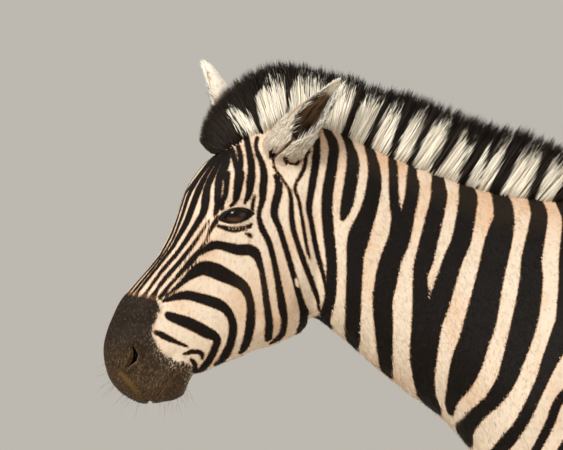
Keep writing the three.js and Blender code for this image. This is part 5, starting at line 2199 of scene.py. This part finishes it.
    def place(self, region: Region, root: Array, part: Array) -> Array:
        """Where the tufts' roots lie on the skin's unwrap, from 0 to 1 both ways.

        Args:
            region: The piece of the coat.
            root: The roots.
            part: The number of the shape that each grows on.

        Returns:
            One place per root.
        """
        result = np.zeros((len(root), 2))
        body = part == 0
        start = 0.81 if body.any() else 0.0
        top = 0.8 if region is Region.HEAD else 0.99
        limbs = [p for p in Part if p is not Part.BODY and (part == p.value).any()]
        strip = (0.99 - start) / max(len(limbs), 1)
        patches = [(self.unwrap.body(root[body]), body, 0, top)] if body.any() else []
        for number, limb in enumerate(limbs):
            chosen, foot = part == limb.value, start + strip * (number + 0.01)
            patches.append((self.unwrap.limb(root[chosen], limb), chosen, foot, strip * 0.97))
        for (along, _, turn), chosen, foot, wide in patches:
            along = (along - along.min()) / max(np.ptp(along), 1)
            result[chosen] = np.stack([0.003 + along * 0.99, foot + (turn + 1) / 2 * wide], 1)
        return result


@dataclass
class FineHairs:
    """Single stiff hairs set on points by Geometry Nodes: whiskers and eyelashes."""

    length: float
    radius: float
    seed: int = 5

    def tree(self) -> bpy.types.NodeTree:
        """Builds the tree that sets a tapering hair on each point, along its way."""
        tree = bpy.data.node_groups.new("hairs_on_points", "GeometryNodeTree")
        for name, kind in (("Geometry", "Geometry"), ("Length", "Float"), ("Radius", "Float"), ("Seed", "Int"),
                           ("Material", "Material")):
            tree.interface.new_socket(name, socket_type="NodeSocket" + kind, in_out="INPUT")
        tree.interface.new_socket("Geometry", socket_type="NodeSocketGeometry", in_out="OUTPUT")
        given = tree.nodes.new("NodeGroupInput").outputs
        hair = add_node(tree, "GeometryNodeMeshCone", {"Vertices": 4, "Side Segments": 3, "Radius Top": 0.00003,
                                                        "Radius Bottom": given["Radius"], "Depth": given["Length"]})
        way = add_node(tree, "GeometryNodeInputNamedAttribute", {"Name": "way"}, data_type="FLOAT_VECTOR")
        size = add_node(tree, "FunctionNodeRandomValue", {2: 0.6, 3: 1.15, "Seed": given["Seed"]}, data_type="FLOAT")
        turn = add_node(tree, "FunctionNodeAlignRotationToVector", {"Vector": way.outputs[0]}, axis="Z")
        dots = add_node(tree, "GeometryNodeMeshToPoints", {"Mesh": given["Geometry"]})
        hairs = add_node(tree, "GeometryNodeInstanceOnPoints", {
            "Points": dots.outputs[0], "Instance": hair.outputs[0], "Rotation": turn.outputs[0],
            "Scale": size.outputs[1]})
        real = add_node(tree, "GeometryNodeRealizeInstances", {"Geometry": hairs.outputs[0]})
        dressed = add_node(tree, "GeometryNodeSetMaterial",
                           {"Geometry": real.outputs[0], "Material": given["Material"]})
        add_node(tree, "NodeGroupOutput", {"Geometry": dressed.outputs[0]})
        return tree

    def build(self, name: str, roots: Array, ways: Array, material: Material) -> Piece:
        """Sets the hairs.

        Args:
            name: The piece's name.
            roots: Where the hairs grow, in millimetres.
            ways: The ways that they point.
            material: Their material.

        Returns:
            The piece.
        """
        mesh = bpy.data.meshes.new(name)
        mesh.from_pydata((roots * MM).tolist(), [], [])
        store(mesh, "way", ways)
        dots = placed(f"{name}_roots", mesh)
        tree = self.tree()
        nodes = dots.modifiers.new("hairs", "NODES")
        nodes.node_group = tree
        ids = {s.name: s.identifier for s in tree.interface.items_tree if s.in_out == "INPUT"}
        for key, value in (("Length", self.length * MM), ("Radius", self.radius * MM), ("Seed", self.seed),
                           ("Material", material)):
            nodes[ids[key]] = value
        made = bpy.data.meshes.new_from_object(dots.evaluated_get(bpy.context.evaluated_depsgraph_get()))
        bpy.data.objects.remove(dots)
        made.shade_smooth()
        log.info("%s: %d hairs", name, len(roots))
        return placed(name, made)


@dataclass
class FaceHairs:
    """Where the whiskers and the lashes grow."""

    tree: BVHTree
    whiskers: int = 150
    lashes: int = 64
    seed: int = 77

    def whisker_roots(self) -> tuple[Array, Array]:
        """Roots and ways of the whiskers on the lips and chin."""
        rng = np.random.default_rng(self.seed)
        roots, ways = [], []
        for i in range(self.whiskers):
            side = 1 if i % 2 else -1
            y, z = rng.uniform(-1045, -905), rng.uniform(1000, 1075)
            hit, normal, _, _ = self.tree.ray_cast(Vector((side * 300, y, z)), Vector((-side, 0, 0)))
            if hit is not None:
                roots.append(hit)
                ways.append(unit(np.array(normal) * 0.8 + [0, -0.35 + rng.normal(0, 0.2), -0.45 + rng.normal(0, 0.2)]))
        return np.array(roots) + np.array(ways) * 14, np.array(ways)

    def lash_roots(self, side: Side) -> tuple[Array, Array]:
        """Lays out one eye's lashes.

        Args:
            side: The eye's side.

        Returns:
            Their roots and ways.
        """
        rng = np.random.default_rng(self.seed + side.value)
        a = rng.uniform(-0.8, 0.88, self.lashes) * LIDS.half_length
        b = LIDS.upper * (1 - (a / LIDS.half_length) ** 2) ** 0.7 + 1.2
        places = np.stack([a, b], 1)
        y, z = LIDS.unplane(places)
        x = LIDS.globe_height(places, LIDS.lid_depth) + 0.4
        way = unit(row_of(1.0, a / 60 - 0.12 + rng.normal(0, 0.12, len(a)), 0.12 + rng.normal(0, 0.14, len(a))))
        flip = [side.value, 1, 1]
        return (row_of(x, y, z) + way * 6.0) * flip, way * flip


# ------------------------------------------------------------------ the scene


@dataclass
class Studio:
    """A plain pale floor, soft warm light and the camera, in metres."""

    floor_radius: float = 14.0
    backdrop: str = "#D8D2C8"
    camera_place: Triple = (12.0, -0.744, 1.302)
    lens: float = 438.5

    def floor(self) -> None:
        """Lays the floor at the hooves' level."""
        angle = np.linspace(0, 2 * np.pi, 96, endpoint=False)
        ring = row_of(np.cos(angle), np.sin(angle), 0) * self.floor_radius / MM
        finished("floor", mixed_mesh("floor", ring, [tuple(range(96))]), MattePlaster().material())

    def light(self, name: str, place: Triple, size: float, power: float, colour: str) -> None:
        """Hangs a soft lamp that points at the animal's shoulders.

        Args:
            name: The lamp's name.
            place: Where it hangs.
            size: Its width.
            power: Its power in watts.
            colour: Its colour.
        """
        lamp = bpy.data.lights.new(name, "AREA")
        lamp.shape, lamp.size, lamp.energy, lamp.color = "DISK", size, power, linear_colour(colour)[:3]
        stand = placed(name, lamp)
        stand.location = place
        stand.rotation_euler = (Vector((0, -0.4, 1.15)) - Vector(place)).to_track_quat("-Z", "Y").to_euler()

    def build(self) -> None:
        """Sets up the floor, the light and the camera."""
        self.floor()
        self.light("key", (4.3, -4.1, 5.2), 2.2, 460, "#FFFAF2")
        self.light("fill", (6.5, 5.0, 2.6), 6.0, 90, "#FFFAF4")
        self.light("rim", (-4.5, 2.5, 4.0), 3.0, 200, "#FFFAF2")
        world = bpy.data.worlds.new("studio_air")
        world.use_nodes = True
        back = world.node_tree.nodes["Background"]
        back.inputs["Color"].default_value = linear_colour(self.backdrop)
        back.inputs["Strength"].default_value = 0.75
        scene = bpy.context.scene
        scene.world = world
        scene.view_settings.view_transform = "Standard"
        camera = bpy.data.cameras.new("camera")
        camera.lens, camera.sensor_width, camera.clip_end = self.lens, 36, 200
        scene.camera = placed("camera", camera)
        scene.camera.location, scene.camera.rotation_euler = self.camera_place, (math.pi / 2, 0, math.pi / 2)


FLESH = [
    "muzzle", "chin", "head", "neck_upper", "neck_lower", "chest", "barrel", "hindquarters", "tail_dock",
    "ear_left", "ear_right",
    *(f"fore_{s}_{p}" for s in ("left", "right") for p in ("forearm", "cannon")),
    *(f"hind_{s}_{p}" for s in ("left", "right") for p in ("thigh", "cannon")),
]


def settle(piece: Piece, slot: str, *nodes: str) -> None:
    """Fixes a finished piece to the animal.

    Args:
        piece: The piece.
        slot: The name of a material slot; not used.
        nodes: The solids that it stands for.
    """
    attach(piece, "root")
    if nodes:
        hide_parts(*nodes)


def main() -> None:
    """Builds the zebra and its studio."""
    logging.basicConfig(level=logging.INFO)
    Studio().build()
    skin = Skin()
    mesh = skin.build()
    unwrap = Unwrap(skin)
    markings = Markings(skin)
    markings.dress(unwrap)
    settle(finished("skin", mesh, HairCoat().material("short_hair_on_skin", bumpy=True)), "coat", *FLESH)
    tuft_hair = HairCoat().material("short_hair_tufts", bumpy=False)
    for piece in Coat(markings, unwrap).build(tuft_hair).values():
        settle(piece, "coat")
    wet_eye, horn, stiff_hair = WetEye().material(), HoofHorn().material(), StiffHair().material()
    for side in Side:
        name = side.name.lower()
        settle(Eyeball(side).build(wet_eye), "eye", f"eye_{name}")
        for kind in ("fore", "hind"):
            settle(Hoof(kind, side).build(horn), "hoof", f"{kind}_{name}_hoof")
    for name, piece in Mane(markings.tree).build(stiff_hair).items():
        node = name.removesuffix("_left").removesuffix("_right")
        settle(piece, "mane", *([] if name == "mane_core" else [node]))
    settle(Tail().build(stiff_hair), "mane", "tail_tuft")
    for part in EAR_PARTS:
        settle(EarFringe(part).build(stiff_hair), "mane")
    face = FaceHairs(markings.tree)
    dark_hair = HairCoat(cream="#1A1512", buff="#1A1512", shade="#120E0C").material("whisker_hair", bumpy=False)
    settle(FineHairs(30, 0.22).build("whiskers", *face.whisker_roots(), dark_hair), "dark_skin")
    for side in Side:
        lashes = FineHairs(12, 0.22).build(f"lashes_{side.name.lower()}", *face.lash_roots(side), dark_hair)
        settle(lashes, "dark_skin")


if __name__ == "__main__":
    main()
